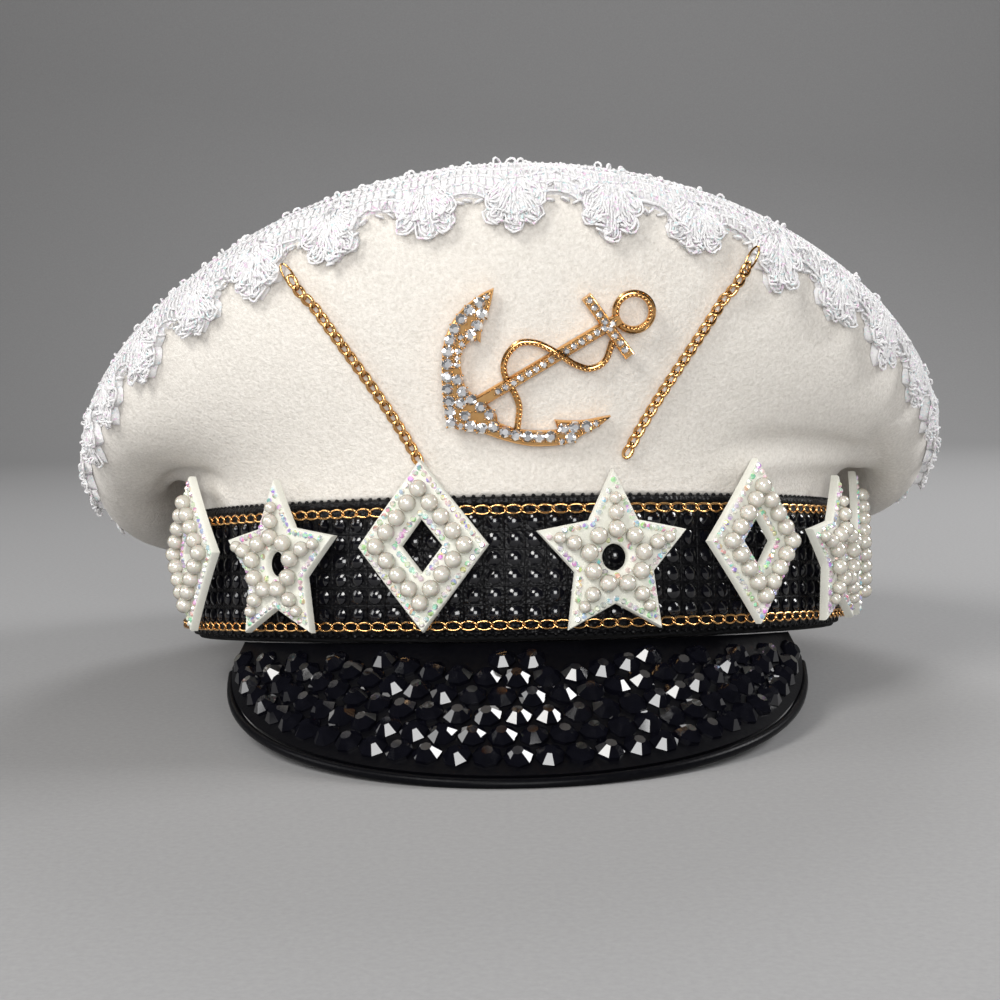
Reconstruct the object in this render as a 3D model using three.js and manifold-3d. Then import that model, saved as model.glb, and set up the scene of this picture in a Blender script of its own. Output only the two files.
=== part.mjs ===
// Captain hat: a padded white crown with a lace edge, a black band set with stones, two gold
// chains round the band, seven pearl patches, an anchor brooch, two chains on the front and a
// black visor set with cut stones. Sizes are in millimetres, angles in degrees.
// The hat's own frame has its origin at the middle of the band's lower edge, the visor towards
// -Y and Z up. At the end the hat is tipped back on its visor, as it rests on a table.
import * as THREE from 'three';
import { mergeVertices } from 'three/addons/utils/BufferGeometryUtils.js';
import Module from 'manifold-3d';

const wasm = await Module();
wasm.setup();

// Gap between pieces that touch, and facets round the band.
const CLEARANCE = 0.3;
const COLUMNS = 32;

// Band: an upright oval ring of stiffened cloth.
const BAND_HALF_WIDTH = 91;
const BAND_HALF_LENGTH = 99;
const BAND_HEIGHT = 34;
const BAND_WALL = 3;

// Stone net: the strip of small black stones round the band.
const STONE_NET = 2.2;
const STONE_NET_MARGIN = 1.5;

// Gold chains round the band, near its upper and lower edges.
const BAND_CHAIN = 2.3;
const UPPER_CHAIN_INSET = 2.7;
const LOWER_CHAIN_RISE = 3.9;

// Crown: cloth walls that rise from the band, roll over a padded edge and meet the top panel.
const CLOTH = 2.5;
const SIDE_OVERHANG = 20;
const END_OVERHANG = 9;
const TOP_SHIFT_BACK = 3;
const TOP_FRONT_HEIGHT = 109;
const TOP_SIDE_HEIGHT = 59;
const TOP_BACK_HEIGHT = 60;
const TOP_DOME = 7;
// How much higher the top is at its +X end than at its middle, as the soft crown sits askew.
const TOP_SIDE_LEAN = 1.5;
const WALL_RISE = 18;
// How the wall leaves the band, arrives at the padded edge and rolls over it.
const FRONT_WALL = { leave: 80, arrive: 84, reach: 30, rollWidth: 8, rollHeight: 8 };
const SIDE_WALL = { leave: 88, arrive: -80, reach: 10, rollWidth: 9, rollHeight: 12.5 };
// How far forward a direction must point, as its cosine, for the side's values and for the front's.
const TURN = { side: 0, front: 1 };
const WALL_TURN = { side: -0.05, front: 0.45 };

// Lace trim: folded over the padded edge, with a leaf cluster at each repeat.
const LACE = 1.4;
const LACE_GAP = 1.6;
const LACE_CLUSTERS = 36;
const LACE_TIP = 25;
const LACE_VALLEY = 17;
const LACE_TOP_TIP = 13;
const LACE_TOP_VALLEY = 8;

// Visor: a hard curved sheet under the front of the band, with a bound edge.
const VISOR_SHEET = 2;
const VISOR_TURN_ANGLE = 85;
const VISOR_HALF_WIDTH = 74;
const VISOR_CENTRE = 53.9;
const VISOR_REACH = 78.8;
const VISOR_DROP = 28;
const VISOR_EDGE_RADIUS = 1.2;

// Cut stones glued on the visor in staggered rows, each with a table and eight facets.
const STONE = { across: 6.4, table: 3.8, rise: 2.4, pitch: 6.9, row: 6.55, edge: 5.6 };
const STONE_SIDES = 8;
const STONE_SINK = 0.8;

// Two chains that run up the front of the crown. Each end is an angle round the hat and a
// share of the way up the wall from the band to the lace's tips.
const FRONT_CHAIN = 2.4;
const FRONT_CHAIN_GAP = 0.5;
const FRONT_CHAIN_ROUTES = [
  { name: 'chain_left', foot: [-13.2, 0.136], head: [-25.4, 1.106] },
  { name: 'chain_right', foot: [16.2, 0.156], head: [28.1, 1.151] },
];

// Anchor brooch: a flat casting on the front of the crown.
const ANCHOR_WIDTH = 50.5;
const ANCHOR_PLATE = 2.2;
const ANCHOR_ANGLE = 4.5;
const ANCHOR_RISE = 35.7;
const ANCHOR_TURN = 3.5;
const ANCHOR_BAR = 2.6;
const ANCHOR_ROPE = 1.6;
const ANCHOR_RING_WIRE = 1.8;

// Felt patches on the band that carry the pearls.
const PATCH_FELT = 2.2;
const PATCH_RISE = 2.5;
const LOZENGE = { width: 32, height: 41, hole: 0.32 };
const STAR = { width: 37, height: 38, waist: 0.52, hole: 0.17 };
const PATCHES = [
  { angle: -61, kind: LOZENGE },
  { angle: -37, kind: STAR },
  { angle: -13, kind: LOZENGE },
  { angle: 14, kind: STAR },
  { angle: 38, kind: LOZENGE },
  { angle: 61, kind: STAR },
  { angle: 83, kind: LOZENGE },
];

// How far inside the band's rear end its pressed lower edge begins to meet the table.
const REST_INSET = 5;

const radians = THREE.MathUtils.degToRad;
const mix = THREE.MathUtils.lerp;

const material = (color, roughness, metalness = 0) =>
  new THREE.MeshStandardMaterial({ color, roughness, metalness });
const WHITE_CLOTH = material(0xf1ede6, 0.9);
const WHITE_LACE = material(0xf6f4f6, 0.6);
const BLACK_CLOTH = material(0x0c0c0e, 0.8);
const BLACK_STONE = material(0x08080a, 0.1);
const BLACK_GLOSS = material(0x0a0a0b, 0.25);
const GOLD = material(0xd8a24a, 0.25, 1);
const CREAM_FELT = material(0xf0ead8, 0.9);

// Puts unshared triangles together and turns the body so that its faces point out.
function closedBody(corners) {
  const position = new Float32Array(corners.flatMap((corner) => corner.toArray()));
  const geometry = new THREE.BufferGeometry();
  geometry.setAttribute('position', new THREE.BufferAttribute(position, 3));
  const body = mergeVertices(geometry, 1e-4);
  const volume = corners.reduce((sum, corner, i) => {
    if (i % 3) return sum;
    return sum + corner.dot(corners[i + 1].clone().cross(corners[i + 2]));
  }, 0);
  if (volume < 0) body.setIndex([...body.index.array].reverse());
  return body;
}

// Skins rows of points. A row is a ring of points, or one point where the body closes.
// Rows that don't end in single points join the last one to the first, as a hoop does.
function skin(rows) {
  const corners = [];
  const hoop = rows[0].length > 1;
  const spans = hoop ? rows.length : rows.length - 1;
  const count = Math.max(...rows.map((row) => row.length));
  for (let i = 0; i < spans; i += 1) {
    const near = rows[i];
    const far = rows[(i + 1) % rows.length];
    for (let j = 0; j < count; j += 1) {
      const k = (j + 1) % count;
      if (near.length > 1) corners.push(near[j], near[k], far[j % far.length]);
      if (far.length > 1) corners.push(near[k % near.length], far[k], far[j]);
    }
  }
  return closedBody(corners);
}

// A tube along a path. Each station is { point, along, up }.
function tube(stations, radius, sides, closed = false) {
  const rings = stations.map(({ point, along, up }) => {
    const side = along.clone().cross(up).normalize();
    const rise = side.clone().cross(along).normalize();
    return Array.from({ length: sides }, (_, i) => {
      const turn = (2 * Math.PI * (i + 0.5)) / sides;
      return point.clone()
        .addScaledVector(side, radius * Math.cos(turn))
        .addScaledVector(rise, radius * Math.sin(turn));
    });
  });
  if (closed) return skin(rings);
  return skin([[stations[0].point], ...rings, [stations.at(-1).point]]);
}

function toSolid(geometry) {
  const bare = geometry.clone();
  bare.deleteAttribute('normal');
  bare.deleteAttribute('uv');
  const merged = mergeVertices(bare, 1e-4);
  return new wasm.Manifold(new wasm.Mesh({
    numProp: 3,
    vertProperties: new Float32Array(merged.attributes.position.array),
    triVerts: new Uint32Array(merged.index.array),
  }));
}

function toGeometry(solid) {
  const mesh = solid.getMesh();
  const geometry = new THREE.BufferGeometry();
  geometry.setAttribute('position', new THREE.BufferAttribute(mesh.vertProperties, 3));
  geometry.setIndex(new THREE.BufferAttribute(mesh.triVerts, 1));
  return geometry;
}

// Fuses pieces into one body and drops the points that lie on straight edges.
const FUSE_TOLERANCE = 0.01;
const join = (geometries) =>
  toGeometry(geometries.map(toSolid).reduce((whole, piece) => whole.add(piece)).simplify(FUSE_TOLERANCE));

const angles = (count) => Array.from({ length: count }, (_, i) => (2 * Math.PI * i) / count);
const shares = (count) => Array.from({ length: count + 1 }, (_, i) => i / count);

// A point beside the band: the angle round the hat, 0 at the front, and the distance outside
// the band's face.
function besideBand(angle, outside, height) {
  return new THREE.Vector3(
    (BAND_HALF_WIDTH + outside) * Math.sin(angle),
    -(BAND_HALF_LENGTH + outside) * Math.cos(angle),
    height,
  );
}

// An upright oval ring from one distance outside the band's face to another.
function ovalRing(from, to, low, high) {
  const corners = [[from, low], [to, low], [to, high], [from, high]];
  return skin(corners.map(([outside, height]) =>
    angles(COLUMNS).map((angle) => besideBand(angle, outside, height))));
}

// The top panel: high at the front, low at the back, and a little domed.
const TILT = (TOP_FRONT_HEIGHT - TOP_BACK_HEIGHT) / 2;
const SCOOP = (TOP_FRONT_HEIGHT + TOP_BACK_HEIGHT) / 2 - TOP_SIDE_HEIGHT;
const TOP_HALF_WIDTH = BAND_HALF_WIDTH + SIDE_OVERHANG;
const TOP_HALF_LENGTH = BAND_HALF_LENGTH + END_OVERHANG;

function topPoint(angle, share) {
  const forward = share * Math.cos(angle);
  const height = TOP_SIDE_HEIGHT + TILT * forward + SCOOP * forward ** 2
    + TOP_SIDE_LEAN * share * Math.sin(angle) + TOP_DOME * (1 - share ** 2);
  return new THREE.Vector3(
    TOP_HALF_WIDTH * share * Math.sin(angle),
    TOP_SHIFT_BACK - TOP_HALF_LENGTH * forward,
    height,
  );
}

const outwardAt = (angle) =>
  new THREE.Vector3(TOP_HALF_WIDTH * Math.sin(angle), -TOP_HALF_LENGTH * Math.cos(angle), 0);

// A direction in the upright plane that points out from the hat at an angle.
const tipped = (out, turn) =>
  new THREE.Vector3(out.x * Math.cos(turn), out.y * Math.cos(turn), Math.sin(turn));

// The wall's shape changes from the front's to the side's. The side's holds for the back.
function wallShape(angle) {
  const shape = {};
  for (const key of Object.keys(SIDE_WALL)) {
    const turn = key === 'leave' || key === 'arrive' ? WALL_TURN : TURN;
    const forward = (Math.cos(angle) - turn.side) / (turn.front - turn.side);
    shape[key] = mix(SIDE_WALL[key], FRONT_WALL[key], THREE.MathUtils.smoothstep(forward, 0, 1));
  }
  return shape;
}

// Outer profile of the crown at an angle, from the band up the wall and over the padded edge to
// the seam with the top panel. Each entry is { point, normal }.
function crownProfile(angle, wallSteps, rollSteps) {
  const shape = wallShape(angle);
  const out = outwardAt(angle);
  const radius = out.length();
  out.normalize();
  const forward = Math.cos(angle);
  const slope = (TILT * forward + 2 * SCOOP * forward ** 2 + TOP_SIDE_LEAN * Math.sin(angle)
    - 2 * TOP_DOME) / radius;
  const facing = (turn) =>
    Math.atan2(shape.rollHeight * Math.sin(turn), shape.rollWidth * Math.cos(turn));
  const seamTurn = facing(Math.atan2(1, -slope));
  const arrive = radians(shape.arrive);
  const startTurn = facing(arrive - Math.PI / 2);
  const seam = topPoint(angle, 1);
  const onRoll = (turn) => seam.clone()
    .addScaledVector(out, shape.rollWidth * (Math.cos(turn) - Math.cos(seamTurn)))
    .add(new THREE.Vector3(0, 0, shape.rollHeight * (Math.sin(turn) - Math.sin(seamTurn))));
  const rollNormal = (turn) =>
    Math.atan2(Math.sin(turn) / shape.rollHeight, Math.cos(turn) / shape.rollWidth);

  const foot = besideBand(angle, 0, BAND_HEIGHT + CLEARANCE);
  const knee = foot.clone().addScaledVector(tipped(out, radians(shape.leave)), WALL_RISE);
  const end = onRoll(startTurn);
  const shoulder = end.clone().addScaledVector(tipped(out, arrive), -shape.reach);
  const wall = new THREE.CubicBezierCurve3(foot, knee, shoulder, end);
  const profile = shares(wallSteps).slice(0, -1).map((share) => {
    const along = wall.getTangent(share);
    return {
      point: wall.getPoint(share),
      normal: tipped(out, Math.atan2(-along.dot(out), along.z)),
    };
  });
  for (const share of shares(rollSteps)) {
    const turn = mix(startTurn, seamTurn, share);
    profile.push({ point: onRoll(turn), normal: tipped(out, rollNormal(turn)) });
  }
  return profile;
}

const FINE_STEPS = 40;

const lengthOf = (profile) =>
  profile.slice(1).reduce((sum, { point }, i) => sum + point.distanceTo(profile[i].point), 0);

// The place at a distance along a profile.
function alongProfile(profile, distance) {
  let left = distance;
  for (let i = 1; i < profile.length; i += 1) {
    const near = profile[i - 1];
    const far = profile[i];
    const step = near.point.distanceTo(far.point);
    if (left <= step || i === profile.length - 1) return between(near, far, Math.min(left / step, 1));
    left -= step;
  }
  return profile[0];
}

const between = (near, far, share) => ({
  point: near.point.clone().lerp(far.point, share),
  normal: near.normal.clone().lerp(far.normal, share).normalize(),
});

// The place at a distance up the crown's wall from the band.
const onWall = (angle, distance) =>
  alongProfile(crownProfile(angle, FINE_STEPS, FINE_STEPS), distance);

const offset = ({ point, normal }, distance) => point.clone().addScaledVector(normal, distance);

// The crown has one column of facets for each lace cluster. Its rows start at the seam, keep
// the same distances from it as far as the lace reaches, and then share out the wall.
const CROWN_ANGLES = angles(LACE_CLUSTERS);
const UNDER_LACE = [0, 0.33, 0.66, 1].map((share) => share * LACE_VALLEY).concat(LACE_TIP);
const WALL_ROWS = 6;
const CROWN_COLUMNS = CROWN_ANGLES.map((angle) => {
  const profile = crownProfile(angle, FINE_STEPS, FINE_STEPS).reverse();
  const rest = (lengthOf(profile) - LACE_TIP) / WALL_ROWS;
  const wall = Array.from({ length: WALL_ROWS }, (_, i) => LACE_TIP + (i + 1) * rest);
  return [...UNDER_LACE, ...wall].map((distance) => alongProfile(profile, distance));
});
// Padding softens the inside, so the inner face follows every other row.
const INNER_ROWS = CROWN_COLUMNS[0].map((_, i) => i).filter((i) => i % 2 === 0 || i === UNDER_LACE.length + WALL_ROWS - 1);

function crownWall() {
  const outer = CROWN_COLUMNS[0].map((_, i) => CROWN_COLUMNS.map((column) => column[i].point));
  const inner = INNER_ROWS.map((i) => CROWN_COLUMNS.map((column) => offset(column[i], -CLOTH)));
  return skin([...outer, ...inner.reverse()]);
}

const TOP_RINGS = [0.4, 0.7];
const inwardShare = (angle, distance) => 1 - distance / outwardAt(angle).length();

function crownTop() {
  const down = new THREE.Vector3(0, 0, -CLOTH);
  const ring = (shareAt) => CROWN_ANGLES.map((angle) => topPoint(angle, shareAt(angle)));
  const rim = ring((angle) => inwardShare(angle, CLEARANCE));
  const underRim = rim.map((point, i) =>
    point.clone().addScaledVector(CROWN_COLUMNS[i][0].normal, -CLOTH));
  const laced = ring((angle) => inwardShare(angle, LACE_TOP_TIP));
  const above = [[topPoint(0, 0)], ...TOP_RINGS.map((share) => ring(() => share)), laced];
  const below = above.map((row) => row.map((point) => point.clone().add(down)));
  return skin([...above, rim, underRim, ...below.reverse()]);
}

// The lace lies on the crown's facets: a tip on each column and a valley between two.
function laceTrim() {
  const top = CROWN_ANGLES.map((angle, i) => ({
    point: topPoint(angle, inwardShare(angle, LACE_TOP_TIP)),
    normal: CROWN_COLUMNS[i][0].normal,
  }));
  const columns = CROWN_COLUMNS.flatMap((column, i) => {
    const next = CROWN_COLUMNS[(i + 1) % CROWN_COLUMNS.length];
    const under = UNDER_LACE.length - 1;
    const tip = [...column.slice(0, under + 1).reverse(), top[i]];
    const halfway = column.slice(0, under).map((place, k) => between(place, next[k], 0.5));
    const valley = halfway.reverse();
    valley.splice(1, 0, between(valley[0], valley[1], 0.5));
    const onTop = between(top[i], top[(i + 1) % top.length], 0.5);
    valley.push(between(valley.at(-1), onTop, LACE_TOP_VALLEY / LACE_TOP_TIP));
    return [tip, valley];
  });
  const row = (i, distance) => columns.map((column) => offset(column[i], distance));
  const order = columns[0].map((_, i) => i);
  return skin([
    ...order.map((i) => row(i, LACE_GAP + LACE)),
    ...order.reverse().map((i) => row(i, LACE_GAP)),
  ]);
}

const NET_FACE = CLEARANCE + STONE_NET;
const CHAIN_SIDES = 8;

function bandChain(height) {
  const outside = NET_FACE + CLEARANCE + BAND_CHAIN / 2;
  const up = new THREE.Vector3(0, 0, 1);
  const stations = angles(COLUMNS).map((angle) => {
    const along = new THREE.Vector3(
      (BAND_HALF_WIDTH + outside) * Math.cos(angle),
      (BAND_HALF_LENGTH + outside) * Math.sin(angle),
      0,
    );
    return { point: besideBand(angle, outside, height), along, up };
  });
  return tube(stations, BAND_CHAIN / 2, CHAIN_SIDES, true);
}

const FRONT_CHAIN_STEPS = 10;

function frontChain({ foot, head }) {
  const radius = FRONT_CHAIN / 2;
  const ramp = 5 * radius;
  const places = shares(FRONT_CHAIN_STEPS).map((share) => {
    const angle = radians(mix(foot[0], head[0], share));
    const toTips = lengthOf(crownProfile(angle, FINE_STEPS, FINE_STEPS)) - LACE_TIP;
    const distance = mix(foot[1], head[1], share) * toTips;
    const place = onWall(angle, distance);
    // The chain climbs over the lace near its head.
    const into = ramp + distance - toTips;
    const climb = THREE.MathUtils.smoothstep(into, 0, ramp - radius) * (LACE_GAP + LACE);
    return { place, point: offset(place, radius + FRONT_CHAIN_GAP + climb) };
  });
  const stations = places.map(({ place, point }, i) => {
    const before = places[Math.max(i - 1, 0)].point;
    const after = places[Math.min(i + 1, FRONT_CHAIN_STEPS)].point;
    return { point, up: place.normal, along: after.clone().sub(before) };
  });
  return tube(stations, radius, CHAIN_SIDES);
}

// The visor's upper face: across runs from -1 to 1 between its ends, and down from 0 at the
// band to 1 at the edge. It is straight from the band to the edge, along a ray from its centre.
function visorEnds(across) {
  const turn = radians(across * VISOR_TURN_ANGLE);
  const ray = new THREE.Vector2(Math.sin(turn), -Math.cos(turn));
  const wide = (BAND_HALF_WIDTH - BAND_WALL / 2) ** 2;
  const long = (BAND_HALF_LENGTH - BAND_WALL / 2) ** 2;
  // Where the ray meets the middle of the band's wall: square * far^2 + 2 * half * far = rest.
  const square = ray.x ** 2 / wide + ray.y ** 2 / long;
  const half = (-VISOR_CENTRE * ray.y) / long;
  const rest = 1 - VISOR_CENTRE ** 2 / long;
  const far = (Math.sqrt(half ** 2 + square * rest) - half) / square;
  const inner = new THREE.Vector3(ray.x * far, ray.y * far - VISOR_CENTRE, -CLEARANCE);
  const edge = new THREE.Vector3(
    VISOR_HALF_WIDTH * ray.x,
    VISOR_REACH * ray.y - VISOR_CENTRE,
    -CLEARANCE - VISOR_DROP * Math.cos(turn) ** 0.6,
  );
  return [inner, edge];
}

function visorPlace(across, down) {
  const [inner, edge] = visorEnds(across);
  const step = 1e-3;
  const beyond = visorEnds(across + step);
  const before = visorEnds(across - step);
  const point = inner.clone().lerp(edge, down);
  const along = beyond[0].lerp(beyond[1], down).sub(before[0].lerp(before[1], down)).normalize();
  const slope = edge.clone().sub(inner);
  const length = slope.length();
  slope.normalize();
  return { point, along, slope, length, normal: slope.clone().cross(along).normalize() };
}

const VISOR_STEPS = 14;
const BINDING_SIDES = 6;

function visorSheet() {
  const loops = shares(VISOR_STEPS).map((share) => {
    const inner = visorPlace(2 * share - 1, 0);
    const edge = visorPlace(2 * share - 1, 1);
    return [inner.point, edge.point, offset(edge, -VISOR_SHEET), offset(inner, -VISOR_SHEET)];
  });
  const middleOf = (loop) =>
    loop.reduce((sum, point) => sum.add(point), new THREE.Vector3()).divideScalar(loop.length);
  return skin([[middleOf(loops[0])], ...loops, [middleOf(loops.at(-1))]]);
}

function visorBinding() {
  const stations = shares(VISOR_STEPS).map((share) => {
    const { point, normal, along, slope } = visorPlace(2 * share - 1, 1);
    const middle = point.addScaledVector(normal, -VISOR_SHEET / 2)
      .addScaledVector(slope, CLEARANCE + VISOR_EDGE_RADIUS);
    return { point: middle, along, up: normal };
  });
  return tube(stations, VISOR_EDGE_RADIUS, BINDING_SIDES);
}

// The last row stays clear of the band above it.
const STONE_FROM_BAND = BAND_WALL + STONE.across / 2;
const ROW_STEPS = 1000;

// Where the stones of one row sit, as a list of places on the visor.
function stoneRow(row) {
  const places = [];
  const placeAt = (across) => {
    const { length } = visorPlace(across, 0);
    return { length, ...visorPlace(across, 1 - (STONE.edge + row * STONE.row) / length) };
  };
  for (const side of [-1, 1]) {
    let travelled = 0;
    let next = STONE.pitch;
    if (row % 2) next = STONE.pitch / 2;
    else if (side < 0) next = 0;
    let last = placeAt(0).point;
    for (let i = 0; i < ROW_STEPS; i += 1) {
      const place = placeAt((side * i) / ROW_STEPS);
      travelled += place.point.distanceTo(last);
      last = place.point;
      if (place.length < STONE.edge + row * STONE.row + STONE_FROM_BAND) break;
      if (travelled >= next) {
        places.push(place);
        next += STONE.pitch;
      }
    }
  }
  return places;
}

function visor() {
  const { length } = visorPlace(0, 0);
  const rows = Math.floor((length - STONE_FROM_BAND - STONE.edge) / STONE.row) + 1;
  const cut = new THREE.CylinderGeometry(
    STONE.table / 2,
    STONE.across / 2,
    STONE.rise + STONE_SINK,
    STONE_SIDES,
  );
  const up = new THREE.Vector3(0, 1, 0);
  const pieces = [visorSheet()];
  for (let row = 0; row < rows; row += 1) {
    for (const place of stoneRow(row)) {
      const turn = new THREE.Quaternion().setFromUnitVectors(up, place.normal);
      const middle = offset(place, (STONE.rise - STONE_SINK) / 2);
      pieces.push(cut.clone().applyQuaternion(turn).translate(middle.x, middle.y, middle.z));
    }
  }
  return join(pieces);
}

// Anchor tables: across and up from its middle, as shares of its width.
const ANCHOR_ARMS = [
  [-0.483, -0.339], [-0.497, -0.168], [-0.493, -0.026], [-0.479, 0.065], [-0.444, 0.145],
  [-0.388, 0.214], [-0.309, 0.271], [-0.242, 0.303], [-0.267, 0.208], [-0.303, 0.137],
  [-0.313, 0.055], [-0.339, 0.079], [-0.388, 0.038], [-0.408, -0.026], [-0.390, -0.150],
  [-0.335, -0.205], [-0.257, -0.277], [-0.246, -0.331], [-0.154, -0.366], [-0.055, -0.380],
  [0.038, -0.380], [0.020, -0.331], [0.087, -0.339], [0.158, -0.341], [0.230, -0.331],
  [0.285, -0.323], [0.230, -0.366], [0.158, -0.402], [0.087, -0.440], [0.002, -0.451],
  [-0.111, -0.444], [-0.232, -0.408], [-0.339, -0.366],
];
const ANCHOR_SHANK = [[-0.408, -0.267], [0.336, 0.136]];
const ANCHOR_STOCK = [[0.182, 0.246], [0.378, -0.040]];
const ANCHOR_RING = { centre: [0.402, 0.164], radius: 0.085 };
// Rope columns: across, up, and how many rope thicknesses its middle stands off the back.
const ANCHOR_ROPE_ROUTE = [
  [0.300, 0.030, 0.6], [0.263, -0.061, 0.6], [0.194, -0.093, 0.6], [0.123, -0.069, 0.8],
  [0.065, -0.026, 1.5], [0.002, 0.016, 1.4], [-0.061, 0.042, 0.8], [-0.133, 0.042, 0.6],
  [-0.188, -0.005, 0.6], [-0.210, -0.069, 0.7], [-0.196, -0.130, 0.8], [-0.164, -0.188, 0.7],
  [-0.143, -0.253, 0.6], [-0.150, -0.323, 0.7], [-0.160, -0.380, 0.9],
];

const onAnchor = ([across, up]) => new THREE.Vector2(across, up)
  .multiplyScalar(ANCHOR_WIDTH)
  .rotateAround(new THREE.Vector2(), radians(ANCHOR_TURN));

function anchorCasting() {
  const plate = { depth: ANCHOR_PLATE, bevelEnabled: false };
  const arms = new THREE.ExtrudeGeometry(new THREE.Shape(ANCHOR_ARMS.map(onAnchor)), plate);
  const bar = (ends, lift) => {
    const [near, far] = ends.map(onAnchor);
    const middle = near.clone().lerp(far, 0.5);
    return new THREE.BoxGeometry(near.distanceTo(far), ANCHOR_BAR, ANCHOR_PLATE)
      .rotateZ(far.clone().sub(near).angle())
      .translate(middle.x, middle.y, ANCHOR_PLATE / 2 + lift);
  };
  const centre = onAnchor(ANCHOR_RING.centre);
  const ring = new THREE.TorusGeometry(ANCHOR_RING.radius * ANCHOR_WIDTH, ANCHOR_RING_WIRE / 2, 6, 18)
    .translate(centre.x, centre.y, ANCHOR_RING_WIRE / 2);
  const knots = ANCHOR_ROPE_ROUTE.map(([across, up, lift]) => {
    const flat = onAnchor([across, up]);
    return new THREE.Vector3(flat.x, flat.y, lift * ANCHOR_ROPE);
  });
  const facing = new THREE.Vector3(0, 0, 1);
  const rope = tube(knots.map((point, i) => ({
    point,
    up: facing,
    along: knots[Math.min(i + 1, knots.length - 1)].clone().sub(knots[Math.max(i - 1, 0)]),
  })), ANCHOR_ROPE / 2, 6);
  return join([arms, bar(ANCHOR_SHANK, 0), bar(ANCHOR_STOCK, CLEARANCE), ring, rope]);
}

// Lays the flat casting against the front of the crown, just clear of the cloth.
function anchorBrooch() {
  const angle = radians(ANCHOR_ANGLE);
  const { point, normal } = onWall(angle, ANCHOR_RISE);
  const higher = onWall(angle, ANCHOR_RISE + 1).point.sub(point);
  const across = higher.clone().cross(normal).normalize();
  const up = normal.clone().cross(across).normalize();
  const radius = outwardAt(angle).length();
  const fullest = Math.max(...ANCHOR_ARMS.concat([ANCHOR_RING.centre]).map(onAnchor).map(({ x, y }) => {
    const cloth = onWall(angle + x / radius, ANCHOR_RISE + y).point;
    return cloth.sub(point).dot(normal);
  }), 0);
  const place = new THREE.Matrix4().makeBasis(across, up, normal)
    .setPosition(point.clone().addScaledVector(normal, fullest + CLEARANCE));
  return anchorCasting().applyMatrix4(place);
}

// Outline of a patch as [across, up] shares of its half width and half height.
function lozengeOutline() {
  const tips = [[0, 1], [1, 0], [0, -1], [-1, 0]];
  return tips.flatMap(([x, y], i) => {
    const [toX, toY] = tips[(i + 1) % tips.length];
    return [0, 0.5].map((share) => [mix(x, toX, share), mix(y, toY, share)]);
  });
}

const STAR_TIPS = 5;

function starOutline(waist) {
  const tip = (i) => {
    const turn = (Math.PI * i) / STAR_TIPS;
    const radius = i % 2 ? waist : 1;
    return [radius * Math.sin(turn), radius * Math.cos(turn)];
  };
  return Array.from({ length: 4 * STAR_TIPS }, (_, i) => {
    const [x, y] = tip((i - (i % 2)) / 2);
    const [toX, toY] = tip((i - (i % 2)) / 2 + 1);
    return i % 2 ? [(x + toX) / 2, (y + toY) / 2] : [x, y];
  });
}

// A star's side points reach less than its radius, so its outline is spread to fill its size.
const STAR_SPREAD = { across: 1 / Math.sin(radians(72)), up: 2 / (1 + Math.cos(radians(36))) };

function patch({ angle, kind }) {
  const star = kind === STAR;
  const outer = star ? starOutline(kind.waist) : lozengeOutline();
  const hole = outer.map(([x, y]) => {
    const scale = star ? kind.hole / Math.hypot(x, y) : kind.hole;
    return [x * scale, y * scale];
  });
  const spread = star ? STAR_SPREAD : { across: 1, up: 1 };
  const top = star ? spread.up - 1 : 0;
  const centre = radians(angle);
  const back = NET_FACE + BAND_CHAIN + 2 * CLEARANCE;
  const pace = Math.hypot(
    (BAND_HALF_WIDTH + back) * Math.cos(centre),
    (BAND_HALF_LENGTH + back) * Math.sin(centre),
  );
  const bent = (outline, outside) => outline.map(([x, y]) => {
    const along = (x * spread.across * kind.width) / 2;
    const height = PATCH_RISE + (kind.height / 2) * (1 + y * spread.up - top);
    return besideBand(centre + along / pace, outside, height);
  });
  const front = back + PATCH_FELT;
  return skin([bent(outer, front), bent(hole, front), bent(hole, back), bent(outer, back)]);
}

// How far the hat tips back on its visor: the floor touches the bound edge's tip from below and
// passes through the band's lower edge behind.
function restPitch() {
  const tip = visorPlace(0, 1);
  tip.point.addScaledVector(tip.normal, -VISOR_SHEET / 2)
    .addScaledVector(tip.slope, CLEARANCE + VISOR_EDGE_RADIUS);
  const run = BAND_HALF_LENGTH - REST_INSET - tip.point.y;
  const drop = -tip.point.z;
  return Math.atan2(drop, run) + Math.asin(VISOR_EDGE_RADIUS / Math.hypot(run, drop));
}

function mesh(name, geometry, finish) {
  const piece = new THREE.Mesh(geometry, finish);
  piece.name = name;
  return piece;
}

const lean = new THREE.Matrix4().makeRotationX(-restPitch());
const binding = mesh('visor_binding', visorBinding().applyMatrix4(lean), BLACK_GLOSS);
const floorHeight = new THREE.Box3().setFromObject(binding).min.z;

// The band stands on the table behind, so its lower edge is pressed flat there.
function restedBand() {
  const reach = 4 * BAND_HALF_LENGTH;
  const ring = ovalRing(-BAND_WALL, 0, 0, BAND_HEIGHT).applyMatrix4(lean);
  const below = new THREE.BoxGeometry(reach, reach, reach).translate(0, 0, floorHeight - reach / 2);
  return toGeometry(toSolid(ring).subtract(toSolid(below)));
}

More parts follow.
